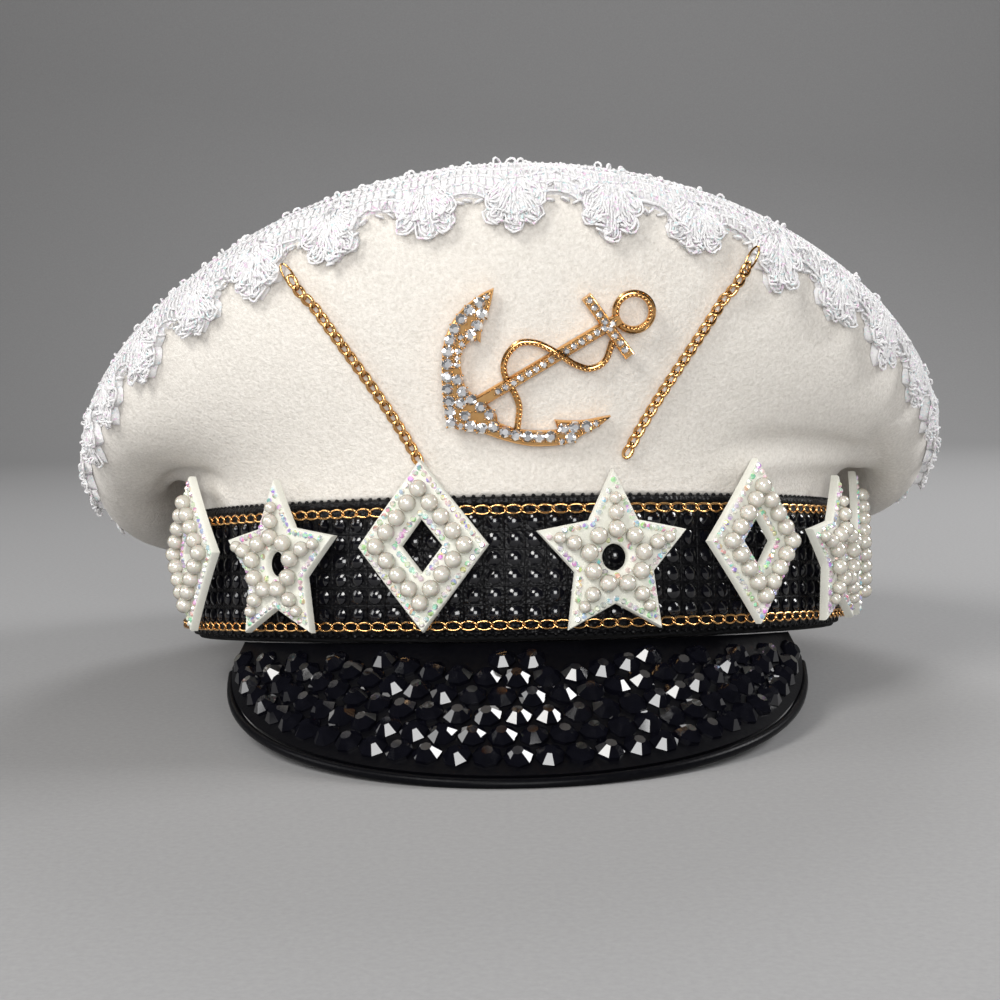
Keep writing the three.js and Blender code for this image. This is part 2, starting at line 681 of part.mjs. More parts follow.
const netLow = STONE_NET_MARGIN;
const netHigh = BAND_HEIGHT - STONE_NET_MARGIN;
const leaning = [
  mesh('crown_wall', crownWall(), WHITE_CLOTH),
  mesh('crown_top', crownTop(), WHITE_CLOTH),
  mesh('lace_trim', laceTrim(), WHITE_LACE),
  mesh('stone_band', ovalRing(CLEARANCE, NET_FACE, netLow, netHigh), BLACK_STONE),
  mesh('band_chain_top', bandChain(BAND_HEIGHT - UPPER_CHAIN_INSET), GOLD),
  mesh('band_chain_bottom', bandChain(LOWER_CHAIN_RISE), GOLD),
  mesh('visor', visor(), BLACK_GLOSS),
  mesh('anchor', anchorBrooch(), GOLD),
  ...FRONT_CHAIN_ROUTES.map((route) => mesh(route.name, frontChain(route), GOLD)),
  ...PATCHES.map((row, i) => mesh(`patch_${i + 1}`, patch(row), CREAM_FELT)),
];
for (const piece of leaning) piece.geometry.applyMatrix4(lean);

const hat = new THREE.Group();
hat.name = 'captain_hat';
hat.add(mesh('band', restedBand(), BLACK_CLOTH), binding, ...leaning);

// The origin is on the table, under the middle of the whole hat.
const box = new THREE.Box3().setFromObject(hat);
const middle = box.getCenter(new THREE.Vector3());
hat.position.set(-middle.x, -middle.y, -box.min.z);

export default hat;
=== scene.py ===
"""A captain hat: padded white crown with a lace edge, black stone band and visor, pearls and gold.

Lengths are millimetres in the hat's own frame, with its origin at the middle of the band's lower
edge, the visor towards -Y and Z up. Pieces are set down on the table as they are made.
"""
import math

import bmesh
import bpy
import numpy as np
from mathutils import Matrix, Vector


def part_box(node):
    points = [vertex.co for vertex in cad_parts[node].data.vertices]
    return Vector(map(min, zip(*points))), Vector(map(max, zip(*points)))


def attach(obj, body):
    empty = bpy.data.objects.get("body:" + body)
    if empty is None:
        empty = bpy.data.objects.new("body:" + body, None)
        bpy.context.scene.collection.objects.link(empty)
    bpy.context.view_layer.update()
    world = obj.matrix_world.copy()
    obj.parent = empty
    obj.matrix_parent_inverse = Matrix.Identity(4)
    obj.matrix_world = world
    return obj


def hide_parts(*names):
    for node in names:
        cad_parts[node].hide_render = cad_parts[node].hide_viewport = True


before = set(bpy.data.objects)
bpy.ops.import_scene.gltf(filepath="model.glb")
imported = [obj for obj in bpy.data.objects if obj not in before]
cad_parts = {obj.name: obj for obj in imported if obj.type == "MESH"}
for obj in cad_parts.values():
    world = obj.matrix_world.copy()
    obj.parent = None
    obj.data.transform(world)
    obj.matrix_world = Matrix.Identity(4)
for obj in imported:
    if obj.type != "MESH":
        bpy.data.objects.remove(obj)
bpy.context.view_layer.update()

MM = 0.001

# Band and what is on it.
BAND_HALF_WIDTH = 91
BAND_HALF_LENGTH = 99
BAND_HEIGHT = 34
BAND_WALL = 3
CLEARANCE = 0.3
STONE_NET = 2.2
NET_FACE = CLEARANCE + STONE_NET
NET_MARGIN = 1.5
NET_BACK = 0.9
NET_STONE = {"across": 3.4, "rise": 1.0, "bulge": 0.5, "pitch": 4.95, "row": 4.38, "rows": 6}
NET_CORD = 0.28
PICOT = {"radius": 0.55, "pitch": 2.4}
BAND_CHAIN = 2.3
UPPER_CHAIN_INSET = 2.7
LOWER_CHAIN_RISE = 3.9
BAND_LINK = {"length": 4.9, "width": 2.6, "wire": 0.55, "pitch": 3.75, "twist": 30}

# Crown, with how its wall leaves the band, arrives at the padded edge and rolls over it.
CLOTH = 2.5
TOP_HALF_WIDTH = BAND_HALF_WIDTH + 20
TOP_HALF_LENGTH = BAND_HALF_LENGTH + 9
TOP_SHIFT_BACK = 3
TOP_FRONT_HEIGHT = 109
TOP_SIDE_HEIGHT = 59
TOP_BACK_HEIGHT = 60
TOP_DOME = 7
TOP_SIDE_LEAN = 1.5
TILT = (TOP_FRONT_HEIGHT - TOP_BACK_HEIGHT) / 2
SCOOP = (TOP_FRONT_HEIGHT + TOP_BACK_HEIGHT) / 2 - TOP_SIDE_HEIGHT
WALL_RISE = 18
SEAM_DIMPLE = {"depth": 1.2, "width": 0.05}
FRONT_WALL = {"leave": 80, "arrive": 84, "reach": 30, "roll_width": 8, "roll_height": 8}
SIDE_WALL = {"leave": 88, "arrive": -80, "reach": 10, "roll_width": 9, "roll_height": 12.5}
# Up to and from which cosine of the angle round the hat a value is the side's or the front's.
WHOLE_TURN = {"side": 0, "front": 1}
LATE_TURN = {"side": -0.05, "front": 0.45}
WALL_TURNS = {"leave": LATE_TURN, "arrive": LATE_TURN}

# Lace over the padded edge.
LACE_CLUSTERS = 36
LACE_TIP = 25
LACE_VALLEY = 17
LACE_TOP_VALLEY = 8
LACE_RISE = 3.0
LACE_THREAD_WIDTH = 0.66
LOOP_THREAD_WIDTH = 0.68
LACE_PICOTS = {"field": 18, "lobes": 16, "edge": 8}

# Visor and its stones.
VISOR_SHEET = 2
VISOR_TURN_ANGLE = 85
VISOR_HALF_WIDTH = 74
VISOR_CENTRE = 53.9
VISOR_REACH = 78.8
VISOR_DROP = 28
VISOR_DROP_POWER = 0.6
VISOR_EDGE_RADIUS = 1.2
STONE = {"across": 6.9, "table": 2.7, "rise": 2.4, "pitch": 6.9, "row": 6.55, "edge": 5.6}
STONE_KEEP_OFF = 3.2
STONE_FROM_BAND = BAND_WALL + STONE_KEEP_OFF

# Chains up the front: each end is an angle round the hat and a share of the wall.
FRONT_LINK = {"length": 4.7, "width": 3.0, "wire": 0.95, "pitch": 2.85, "twist": 38}
CHAIN_OVER_LACE = 1.9
FRONT_CHAIN_ROUTES = {
    "chain_left": ((-13.2, 0.136), (-25.4, 1.106)),
    "chain_right": ((16.2, 0.156), (28.1, 1.151)),
}

# Anchor brooch. Its paving is rows of stones as (inset from the edge, size), and the pack is how
# close two stones may stand as a share of their size.
ANCHOR_WIDTH = 50.5
ANCHOR_PLATE = 2.2
ANCHOR_ANGLE = 4.5
ANCHOR_RISE = 35.7
ANCHOR_TURN = 3.5
ANCHOR_PACK = 0.9
ANCHOR_PAVING = ((1.2, 2.9), (3.4, 2.9), (5.6, 2.9), (7.6, 2.7), (2.3, 1.7), (0.9, 1.7), (4.5, 1.7))
ANCHOR_BAR_STONE = 1.95
ANCHOR_BAR = 2.6
ANCHOR_ROPE = 1.6
ANCHOR_RING_WIRE = 1.8
ANCHOR_BEAD = 0.86
ANCHOR_BEAD_PITCH = 1.08

# Felt patches and their pearls.
PATCH_FELT = 2.2
PATCH_SOFT_EDGE = 0.45
PATCH_RISE = 2.5
PATCH_BACK = NET_FACE + BAND_CHAIN + 2 * CLEARANCE
LOZENGE = {"width": 32, "height": 41, "hole": 0.32}
STAR = {"width": 37, "height": 38, "waist": 0.52, "hole": 0.17}
PATCHES = ((-61, LOZENGE), (-37, STAR), (-13, LOZENGE), (14, STAR), (38, LOZENGE), (61, STAR),
           (83, LOZENGE))
PEARL = 4.3
CRYSTAL = 1.55
# Pearls along a star's arm: how far beyond the ring of pearls, and how large, as shares of a pearl.
ARM_PEARLS = ((0.92, 0.9), (1.72, 0.7))

# Clear stones: table and rise as shares of the size, and how far the stone sinks in.
PAVING_CUT = {"table": 0.52, "rise": 0.36, "sink": 0.3}
CRYSTAL_CUT = {"table": 0.6, "rise": 0.4, "sink": 0.2}
# How unevenly stones are set, in degrees.
UNEVEN = {"band": 8, "visor": 9, "anchor": 7, "crystal": 14}


def find_rest():
    """The hat's lean and shift, read off the CAD stone band, which is an upright oval ring."""
    low, high = (np.array(corner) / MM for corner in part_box("stone_band"))
    length = 2 * (BAND_HALF_LENGTH + NET_FACE)
    height = BAND_HEIGHT - 2 * NET_MARGIN
    _, deep, tall = high - low
    pitch = math.asin((deep ** 2 + tall ** 2 - length ** 2 - height ** 2) / (2 * length * height)) / 2
    lean = np.array([[1, 0, 0],
                     [0, math.cos(pitch), math.sin(pitch)],
                     [0, -math.sin(pitch), math.cos(pitch)]])
    return lean, (low + high) / 2 - lean @ np.array([0, 0, BAND_HEIGHT / 2])


LEAN, SHIFT = find_rest()


def settle(points):
    """Points of the hat's own frame as it rests on the table, in metres."""
    return (np.asarray(points, float) @ LEAN.T + SHIFT) * MM


def unit(vectors):
    return vectors / np.maximum(np.linalg.norm(vectors, axis=-1, keepdims=True), 1e-9)


def eased(share):
    """A share from 0 to 1 that starts and stops gently."""
    return share * share * (3 - 2 * share)


def whole_turn(count):
    """Angles at even steps once round."""
    return np.linspace(0, 2 * np.pi, count, endpoint=False)


def lengths_along(line):
    """How far along a line each of its points is."""
    return np.concatenate([[0], np.cumsum(np.linalg.norm(np.diff(line, axis=0), axis=1))])


def values_at(distance, lengths, values):
    """Values of a line's points, taken at a distance along it."""
    return np.stack([np.interp(distance, lengths, column) for column in values.T], -1)


def moved(place, spot):
    """A frame moved to a spot that is given in its own directions."""
    return (place[0] + np.asarray(spot) @ np.array(place[1:]), *place[1:])


def show(name, data):
    """A new object in the scene."""
    thing = bpy.data.objects.new(name, data)
    bpy.context.scene.collection.objects.link(thing)
    return thing


class Form:
    """Points and faces that become one mesh."""

    def __init__(self):
        self.points, self.faces, self.count = [], [], 0

    def add(self, points, faces):
        points = np.asarray(points, float).reshape(-1, 3)
        self.points.append(points)
        self.faces += [[i + self.count for i in face] for face in faces]
        self.count += len(points)
        return self

    def copies(self, points, faces, frames):
        """Adds a form at each frame (origin, across, along, out)."""
        for origin, across, along, out in frames:
            self.add(origin + np.asarray(points) @ np.array([across, along, out]), faces)
        return self

    def piece(self, name, finish, slot, stands_for=(), smooth=True, sharp=None):
        mesh = bpy.data.meshes.new(name)
        mesh.from_pydata(settle(np.concatenate(self.points)).tolist(), [], self.faces)
        made = bmesh.new()
        made.from_mesh(mesh)
        bmesh.ops.recalc_face_normals(made, faces=made.faces)
        made.to_mesh(mesh)
        made.free()
        mesh.polygons.foreach_set("use_smooth", [smooth] * len(mesh.polygons))
        if sharp:
            mesh.set_sharp_from_angle(angle=math.radians(sharp))
        mesh.materials.append(finish)
        thing = show(name, mesh)
        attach(thing, "root")
        if stands_for:
            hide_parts(*stands_for)
        return thing


def grid(rows, columns, close_rows=False, close_columns=False):
    """Four-sided faces over rows of points."""
    row = np.arange(rows if close_rows else rows - 1)[:, None]
    column = np.arange(columns if close_columns else columns - 1)[None, :]
    next_row, next_column = (row + 1) % rows, (column + 1) % columns
    corners = (row * columns + column, row * columns + next_column,
               next_row * columns + next_column, next_row * columns + column)
    return np.stack(corners, -1).reshape(-1, 4).tolist()


def tube(path, up, radius, sides, closed=False):
    """Points and faces of a tube along a path."""
    path = np.asarray(path, float)
    count = len(path)
    along = np.roll(path, -1, 0) - np.roll(path, 1, 0) if closed else np.gradient(path, axis=0)
    side = unit(np.cross(along, up))
    rise = unit(np.cross(side, along))
    radius = np.broadcast_to(np.asarray(radius, float), count)[:, None, None]
    turn = (2 * np.pi * (np.arange(sides) + 0.5) / sides)[None, :, None]
    rings = path[:, None] + radius * (np.cos(turn) * side[:, None] + np.sin(turn) * rise[:, None])
    faces = grid(count, sides, close_rows=closed, close_columns=True)
    if not closed:
        faces += [list(range(sides))[::-1], list(range((count - 1) * sides, count * sides))]
    return rings.reshape(-1, 3), faces


def cut_stone(across, table, rise, sides=8, sink=0.5):
    """A cut stone: a table, a ring of facets and a girdle that sinks into what holds it."""
    turn = 2 * np.pi * (np.arange(sides) + 0.5) / sides
    circle = np.stack([np.cos(turn), np.sin(turn)], -1)
    girdle = 0.25 * rise
    rings = [(across, -sink), (across, girdle), (table, rise)]
    points = np.concatenate([np.c_[circle * size / 2, np.full(sides, z)] for size, z in rings])
    return points, grid(3, sides, close_columns=True) + [list(range(2 * sides, 3 * sides))]


def clear_stone(size, cut):
    return cut_stone(size, size * cut["table"], size * cut["rise"], sink=cut["sink"])


def dome(across, rise, bulge, around=14, rings=4):
    """A smooth round stone: a short girdle under a shallow dome."""
    turn = 2 * np.pi * np.arange(around) / around
    circle = np.stack([np.cos(turn), np.sin(turn)], -1) * across / 2
    shares = np.linspace(1, 0.25, rings)
    rows = [(1, -0.3)] + [(share, rise - bulge * share ** 2) for share in shares]
    points = np.concatenate([np.c_[circle * share, np.full(around, z)] for share, z in rows])
    last = len(rows) - 1
    return points, grid(len(rows), around, close_columns=True) + [[last * around + i for i in range(around)]]


def ball(diameter, around=16, down=10):
    """A round pearl."""
    polar = np.linspace(0, np.pi, down + 1)[1:-1, None]
    turn = (2 * np.pi * np.arange(around) / around)[None, :]
    ones = np.ones_like(turn)
    rings = np.stack([np.sin(polar) * np.cos(turn), np.sin(polar) * np.sin(turn), np.cos(polar) * ones], -1)
    points = np.concatenate([rings.reshape(-1, 3), [[0, 0, 1], [0, 0, -1]]]) * diameter / 2
    last = (down - 2) * around
    top, bottom = len(points) - 2, len(points) - 1
    faces = grid(down - 1, around, close_columns=True)
    for i in range(around):
        k = (i + 1) % around
        faces += [[top, i, k], [bottom, last + k, last + i]]
    return points, faces


def chain_link(length, width, wire, twist, steps=14, sides=6):
    """An oval link, twisted so that its neighbours pass through it."""
    turn = 2 * np.pi * np.arange(steps) / steps
    lie = math.radians(twist) * np.cos(turn)
    long, short = (length - wire) / 2, (width - wire) / 2
    path = np.stack([long * np.cos(turn), short * np.sin(turn) * np.cos(lie),
                     short * np.sin(turn) * np.sin(lie)], -1)
    return tube(path, np.stack([0 * lie, -np.sin(lie), np.cos(lie)], -1), wire / 2, sides, closed=True)


def beside_band(angle, outside, height):
    """Points beside the band: angle round the hat from the front, and how far outside its face."""
    return np.stack(np.broadcast_arrays(
        (BAND_HALF_WIDTH + outside) * np.sin(angle),
        -(BAND_HALF_LENGTH + outside) * np.cos(angle),
        height + 0 * np.asarray(angle, float)), -1)


def band_normal(angle, outside=0):
    return unit(np.stack([np.sin(angle) / (BAND_HALF_WIDTH + outside),
                          -np.cos(angle) / (BAND_HALF_LENGTH + outside), 0 * angle], -1))


def round_band(outside, pitch, start=0.0):
    """Angles of places that are evenly spaced round the band."""
    fine = np.linspace(0, 2 * np.pi, 3601)
    path = beside_band(fine, outside, 0.0)
    reach = lengths_along(path)
    count = round(reach[-1] / pitch)
    return np.interp((np.arange(count) + start) * reach[-1] / count, reach, fine)


def band_frames(angles, outside, height):
    """A frame at each angle: its origin, along the band, up, and out."""
    points, out = beside_band(angles, outside, height), band_normal(angles, outside)
    up = np.array([0.0, 0, 1])
    return [(point, np.cross(up, normal), up, normal) for point, normal in zip(points, out)]


def oval_ring(form, inner, outer, low, high, columns=180):
    """Adds an upright oval ring with softened edges."""
    soft = min(0.4, (outer - inner) / 3)
    section = [(inner, low + soft), (inner + soft, low), (outer - soft, low), (outer, low + soft),
               (outer, high - soft), (outer - soft, high), (inner + soft, high), (inner, high - soft)]
    angle = whole_turn(columns)
    rows = np.stack([beside_band(angle, outside, height) for outside, height in section])
    return form.add(rows, grid(len(section), columns, close_rows=True, close_columns=True))


def wall_value(key, angle):
    """One of the wall's values at an angle, between its side's and its front's."""
    turn = WALL_TURNS.get(key, WHOLE_TURN)
    forward = np.clip((np.cos(angle) - turn["side"]) / (turn["front"] - turn["side"]), 0, 1)
    return SIDE_WALL[key] + (FRONT_WALL[key] - SIDE_WALL[key]) * eased(forward)


def top_point(angle, share):
    """A point of the top panel, from 0 at its middle to 1 at its seam."""
    forward = share * np.cos(angle)
    height = (TOP_SIDE_HEIGHT + TILT * forward + SCOOP * forward ** 2
              + TOP_SIDE_LEAN * share * np.sin(angle) + TOP_DOME * (1 - share ** 2))
    return np.stack(np.broadcast_arrays(TOP_HALF_WIDTH * share * np.sin(angle),
                                        TOP_SHIFT_BACK - TOP_HALF_LENGTH * forward, height), -1)


def top_normal(angle, share):
    forward = share * np.cos(angle)
    across = (TOP_SIDE_LEAN - 2 * TOP_DOME * share * np.sin(angle)) / TOP_HALF_WIDTH
    back = -(TILT + 2 * (SCOOP - TOP_DOME) * forward) / TOP_HALF_LENGTH
    return unit(np.stack([-across, -back, np.ones_like(across)], -1))


def outward(angle):
    return np.stack([TOP_HALF_WIDTH * np.sin(angle), -TOP_HALF_LENGTH * np.cos(angle)], -1)


def crown_profile(angle, steps=60):
    """Points and normals from the band up the wall and over the padded edge to the seam."""
    value = {key: float(wall_value(key, angle)) for key in SIDE_WALL}
    wide, tall = value["roll_width"], value["roll_height"]
    out = outward(angle)
    radius = np.linalg.norm(out)
    out = out / radius
    forward = math.cos(angle)
    slope = (TILT * forward + 2 * SCOOP * forward ** 2 + TOP_SIDE_LEAN * math.sin(angle)
             - 2 * TOP_DOME) / radius

    def tipped(turn):
        turn = np.asarray(turn, float)
        return np.stack([out[0] * np.cos(turn), out[1] * np.cos(turn), np.sin(turn)], -1)

    def facing(turn):
        return math.atan2(tall * math.sin(turn), wide * math.cos(turn))

    arrive, leave = math.radians(value["arrive"]), math.radians(value["leave"])
    seam_turn, start_turn = facing(math.atan2(1, -slope)), facing(arrive - math.pi / 2)
    turn = np.linspace(start_turn, seam_turn, steps)
    push = wide * (np.cos(turn) - math.cos(seam_turn))
    lift = tall * (np.sin(turn) - math.sin(seam_turn))
    roll = top_point(angle, 1.0) + np.stack([push * out[0], push * out[1], lift], -1)
    foot = beside_band(angle, 0, BAND_HEIGHT + CLEARANCE)
    knee = foot + tipped(leave) * WALL_RISE
    end = roll[0]
    shoulder = end - tipped(arrive) * value["reach"]
    share = np.linspace(0, 1, steps, endpoint=False)[:, None]
    rest = 1 - share
    wall = (rest ** 3 * foot + 3 * rest ** 2 * share * knee + 3 * rest * share ** 2 * shoulder
            + share ** 3 * end)
    along = rest ** 2 * (knee - foot) + 2 * rest * share * (shoulder - knee) + share ** 2 * (end - shoulder)
    wall_turn = np.arctan2(-along[:, :2] @ out, along[:, 2])
    roll_turn = np.arctan2(np.sin(turn) / tall, np.cos(turn) / wide)
    return np.concatenate([wall, roll]), np.concatenate([tipped(wall_turn), tipped(roll_turn)])


def even_profile(angle, count=161):
    """A crown profile at even steps of its length, with that length."""
    points, normals = crown_profile(angle)
    reach = lengths_along(points)
    even = np.linspace(0, reach[-1], count)
    return values_at(even, reach, points), unit(values_at(even, reach, normals)), reach[-1]


CROWN = [even_profile(math.radians(degree)) for degree in range(361)]
CROWN_POINTS = np.stack([column[0] for column in CROWN])
CROWN_NORMALS = np.stack([column[1] for column in CROWN])
CROWN_LENGTHS = np.array([column[2] for column in CROWN])

# Soft creases in the crown's cloth: where they start and end as an angle and a share of the wall
# from the band, how wide they are, and how deep. The last one is a swell on the -X side.
CREASES = (
    {"start": (30, 0.16), "end": (74, 0.34), "width": 0.05, "depth": 1.5},
    {"start": (-80, 0.30), "end": (-52, 0.12), "width": 0.05, "depth": 1.3},
    {"start": (56, 0.42), "end": (88, 0.30), "width": 0.05, "depth": 0.8},
    {"start": (150, 0.30), "end": (186, 0.42), "width": 0.07, "depth": 1.4},
    {"start": (-118, 0.40), "end": (-150, 0.26), "width": 0.07, "depth": 1.3},
    {"start": (-145, 0.58), "end": (-40, 0.60), "width": 0.25, "depth": -2.6},
)
# The low swell below a crease: its height as a share of the depth, and how many widths below.
CREASE_SWELL = {"height": 0.6, "below": 1.9}


def crease_depth(angle, share):
    """How far the cloth sinks in its creases, with a low swell below each one."""
    degrees = (np.degrees(angle) + 180) % 360 - 180
    depth = np.zeros(np.broadcast(degrees, share).shape)
    for crease in CREASES:
        (from_angle, from_share), (to_angle, to_share) = crease["start"], crease["end"]
        along = (degrees - from_angle) / (to_angle - from_angle)
        line = from_share + (to_share - from_share) * along
        off = (share - line) / crease["width"]
        fade = eased(np.clip(along * 4, 0, 1) * np.clip((1 - along) * 4, 0, 1))
        swell = CREASE_SWELL["height"] * np.exp(-(off + CREASE_SWELL["below"]) ** 2)
        depth += fade * crease["depth"] * (np.exp(-off ** 2) - swell)
    return depth


def on_crown(angle, distance, from_seam=False):
    """Points and normals of the crown's wall at a distance from the band, or from its seam."""
    degrees = np.degrees(np.asarray(angle, float)) % 360
    near = np.floor(degrees).astype(int)
    turn = (degrees - near)[..., None]
    length = np.interp(degrees, np.arange(361), CROWN_LENGTHS)
    share = np.clip(np.asarray(distance, float) / length, 0, 1)
    share = 1 - share if from_seam else share
    place = share * (CROWN_POINTS.shape[1] - 1)
    step = np.minimum(place.astype(int), CROWN_POINTS.shape[1] - 2)
    rise = (place - step)[..., None]

    def mixed(values):
        low = values[near, step] * (1 - rise) + values[near, step + 1] * rise
        high = values[near + 1, step] * (1 - rise) + values[near + 1, step + 1] * rise
        return low * (1 - turn) + high * turn

    normal = unit(mixed(CROWN_NORMALS))
    return mixed(CROWN_POINTS) - normal * crease_depth(angle, share)[..., None], normal


def over_edge(angle, below):
    """Points and normals at a distance below the crown's seam, or inside it where negative."""
    angle, below = np.broadcast_arrays(np.asarray(angle, float), np.asarray(below, float))
    wall, wall_normal = on_crown(angle, np.clip(below, 0, None), from_seam=True)
    share = 1 + np.clip(below, None, 0) / np.linalg.norm(outward(angle), axis=-1)
    inside = (below < 0)[..., None]
    return (np.where(inside, top_point(angle, share), wall),
            np.where(inside, top_normal(angle, share), wall_normal))


def round_pace(angle):
    """Millimetres round the crown's edge for each radian."""
    beyond = FRONT_WALL["roll_width"]
    return np.hypot((TOP_HALF_WIDTH + beyond) * np.cos(angle), (TOP_HALF_LENGTH + beyond) * np.sin(angle))


# Finishes.


class Wire:
    """A socket's value, which takes part in sums."""

    def __init__(self, finish, socket):
        self.finish, self.socket = finish, socket

    def sum(self, operation, *values):
        return self.finish.node("ShaderNodeMath", {"operation": operation}, values)

    def __add__(self, other):
        return self.sum("ADD", self, other)

    def __sub__(self, other):
        return self.sum("SUBTRACT", self, other)

    def __rsub__(self, other):
        return self.sum("SUBTRACT", other, self)

    def __mul__(self, other):
        return self.sum("MULTIPLY", self, other)

    __radd__, __rmul__ = __add__, __mul__

    def __pow__(self, other):
        return self.sum("POWER", self, other)

    def above(self, other):
        return self.sum("GREATER_THAN", self, other)


class Finish:
    """A material, built node by node round one shader."""

    def __init__(self, name, shader):
        self.material = bpy.data.materials.new(name)
        self.material.use_nodes = True
        self.tree = self.material.node_tree
        self.tree.nodes.clear()
        self.shader = self.tree.nodes.new("ShaderNodeBsdfPrincipled")
        output = self.tree.nodes.new("ShaderNodeOutputMaterial")
        self.tree.links.new(self.shader.outputs[0], output.inputs[0])
        self.place = self.node("ShaderNodeTexCoord", result="Object")
        for key, value in shader.items():
            self.put(self.shader.inputs[key], value)

    def put(self, socket, value):
        if isinstance(value, Wire):
            self.tree.links.new(value.socket, socket)
        elif isinstance(value, tuple) and len(value) == 3 and socket.type == "RGBA":
            socket.default_value = (*value, 1)
        else:
            socket.default_value = value

    def node(self, kind, settings=None, values=(), result=0):
        """A node of that type. Values are a list in socket order, or a dict by socket name."""
        made = self.tree.nodes.new(kind)
        for key, value in (settings or {}).items():
            if key == "stops":
                for stop, (position, color) in zip(made.color_ramp.elements, value):
                    stop.position, stop.color = position, (*color, 1)
            else:
                setattr(made, key, value)
        pairs = values.items() if isinstance(values, dict) else enumerate(values)
        for key, value in pairs:
            self.put(made.inputs[key], value)
        return Wire(self, made.outputs[result])

    def noise(self, size, detail=2.0, roughness=0.5):
        """Cloudy values from 0 to 1 with features about that many millimetres across."""
        return self.node("ShaderNodeTexNoise", {}, {
            "Vector": self.place, "Scale": 1 / (size * MM), "Detail": detail, "Roughness": roughness})

    def cells(self, size, result="Color"):
        """Random colours of cells that are about that many millimetres across."""
        return self.node("ShaderNodeTexVoronoi", {}, {
            "Vector": self.place, "Scale": 1 / (size * MM)}, result)

    def mix(self, share, first, second):
        return self.node("ShaderNodeMix", {"data_type": "RGBA"}, {0: share, 6: first, 7: second}, 2)

    def ramp(self, value, stops):
        return self.node("ShaderNodeValToRGB", {"stops": stops}, {0: value})

    def gray(self, color):
        return self.node("ShaderNodeSeparateColor", {}, {0: color})

    def bump(self, height, distance, strength=1.0):
        """Relief of that many millimetres."""
        normal = self.node("ShaderNodeBump", {}, {
            "Strength": strength, "Distance": distance * MM, "Height": height})
        self.put(self.shader.inputs["Normal"], normal)
        return self

    def color(self, value):
        self.put(self.shader.inputs["Base Color"], value)
        return self

    def rough(self, value):
        self.put(self.shader.inputs["Roughness"], value)
        return self


def crown_fabric():
    """Warm white cloth with a short, soft nap."""
    finish = Finish("crown_fabric", {"Roughness": 0.95, "Sheen Weight": 0.15, "Sheen Roughness": 0.5})
    nap = (finish.noise(0.9, 4.0, 0.7) - 0.5) * 2.4 + 0.5
    drift = finish.noise(5.0, 3.0, 0.6)
    worn = finish.mix(nap, (0.62, 0.58, 0.52), (0.90, 0.86, 0.80))
    finish.color(finish.mix(drift * 0.5, worn, (0.76, 0.72, 0.66)))
    return finish.bump(0.4 * nap + drift, 0.5, 0.8).material


def lace_thread():
    """White thread with a tinsel glint of pink, green and blue."""
    finish = Finish("lace_thread", {"Roughness": 0.5, "Sheen Weight": 0.1, "Sheen Roughness": 0.4})
    hue = finish.gray(finish.cells(0.9))
    glint = finish.ramp(hue, ((0.0, (1.0, 0.45, 0.80)), (1.0, (0.45, 0.92, 0.86))))
    fleck = finish.noise(0.9, 1.0).above(0.60)
    strand = finish.noise(0.4, 3.0, 0.7)
    white = finish.mix(strand, (0.76, 0.75, 0.75), (0.97, 0.96, 0.96))
    finish.color(finish.mix(fleck * 0.45, white, glint))
    finish.rough(0.62 - 0.38 * fleck)
    return finish.bump(strand, 0.35, 0.8).material


def black_cloth():
    """Matt black woven cloth."""
    finish = Finish("black_cloth", {"Roughness": 0.8, "Specular IOR Level": 0.12})
    weave = finish.node("ShaderNodeTexWave", {"wave_type": "BANDS", "bands_direction": "Z"}, {
        "Vector": finish.place, "Scale": 1 / (4.0 * MM), "Distortion": 2.0, "Detail": 2.0,
        "Detail Scale": 2.0}, 1)
    finish.color(finish.mix(weave, (0.002, 0.002, 0.002), (0.007, 0.007, 0.008)))
    return finish.bump(weave, 0.25, 0.6).material


def net_thread():
    """Black net between the small stones."""
    finish = Finish("net_thread", {"Roughness": 0.4, "Specular IOR Level": 0.2})
    rib = finish.cells(0.9, "Distance")
    finish.color(finish.mix(rib, (0.006, 0.006, 0.007), (0.001, 0.001, 0.002)))
    return finish.bump(rib, 0.4, 0.8).material


def black_glass(name, roughness):
    """Black cut glass."""
    finish = Finish(name, {"Specular IOR Level": 0.7})
    haze = finish.noise(2.2, 2.0)
    finish.color(finish.mix(haze, (0.001, 0.001, 0.002), (0.004, 0.004, 0.007)))
    finish.rough(roughness + 0.05 * haze)
    return finish.material


def visor_gloss():
    """Glossy black facing of the visor."""
    finish = Finish("visor_gloss", {"Specular IOR Level": 0.08})
    grain = finish.noise(0.9, 3.0)
    finish.color(finish.mix(grain, (0.001, 0.001, 0.002), (0.004, 0.004, 0.005)))
    finish.rough(0.25 + 0.2 * grain)
    return finish.bump(grain, 0.12, 0.4).material


def gold():
    """Polished gold plate, with painted shade in its crevices and in the gaps between links and beads."""
    finish = Finish("gold", {"Metallic": 1.0})
    tarnish = finish.noise(1.6, 3.0)
    # Painted shade: ambient occlusion darkens the gold to dark brown in crevices and between links and
    # beads.
    painted_shade_ao = finish.node("ShaderNodeAmbientOcclusion", {"samples": 6}, {"Distance": 0.9 * MM}, 1)
    plate = finish.mix(tarnish, (1.0, 0.63, 0.28), (0.78, 0.40, 0.13))
    # Where the painted shade mask is low, the colour goes to the painted dark-brown shade.
    finish.color(finish.mix(painted_shade_ao ** 1.5, (0.10, 0.035, 0.01), plate))
    finish.rough(0.10 + 0.12 * tarnish)
    return finish.bump(tarnish, 0.05, 0.4).material


def clear_crystal():
    """Clear cut stones on foil, each a little lighter or darker."""
    finish = Finish("clear_crystal", {"Metallic": 0.85, "Coat Weight": 1.0, "Coat Roughness": 0.02})
    each = finish.gray(finish.cells(1.6))
    finish.color(finish.mix(each, (0.70, 0.71, 0.74), (1.0, 1.0, 1.0)))
    finish.rough(0.04 + 0.08 * each)
    return finish.material


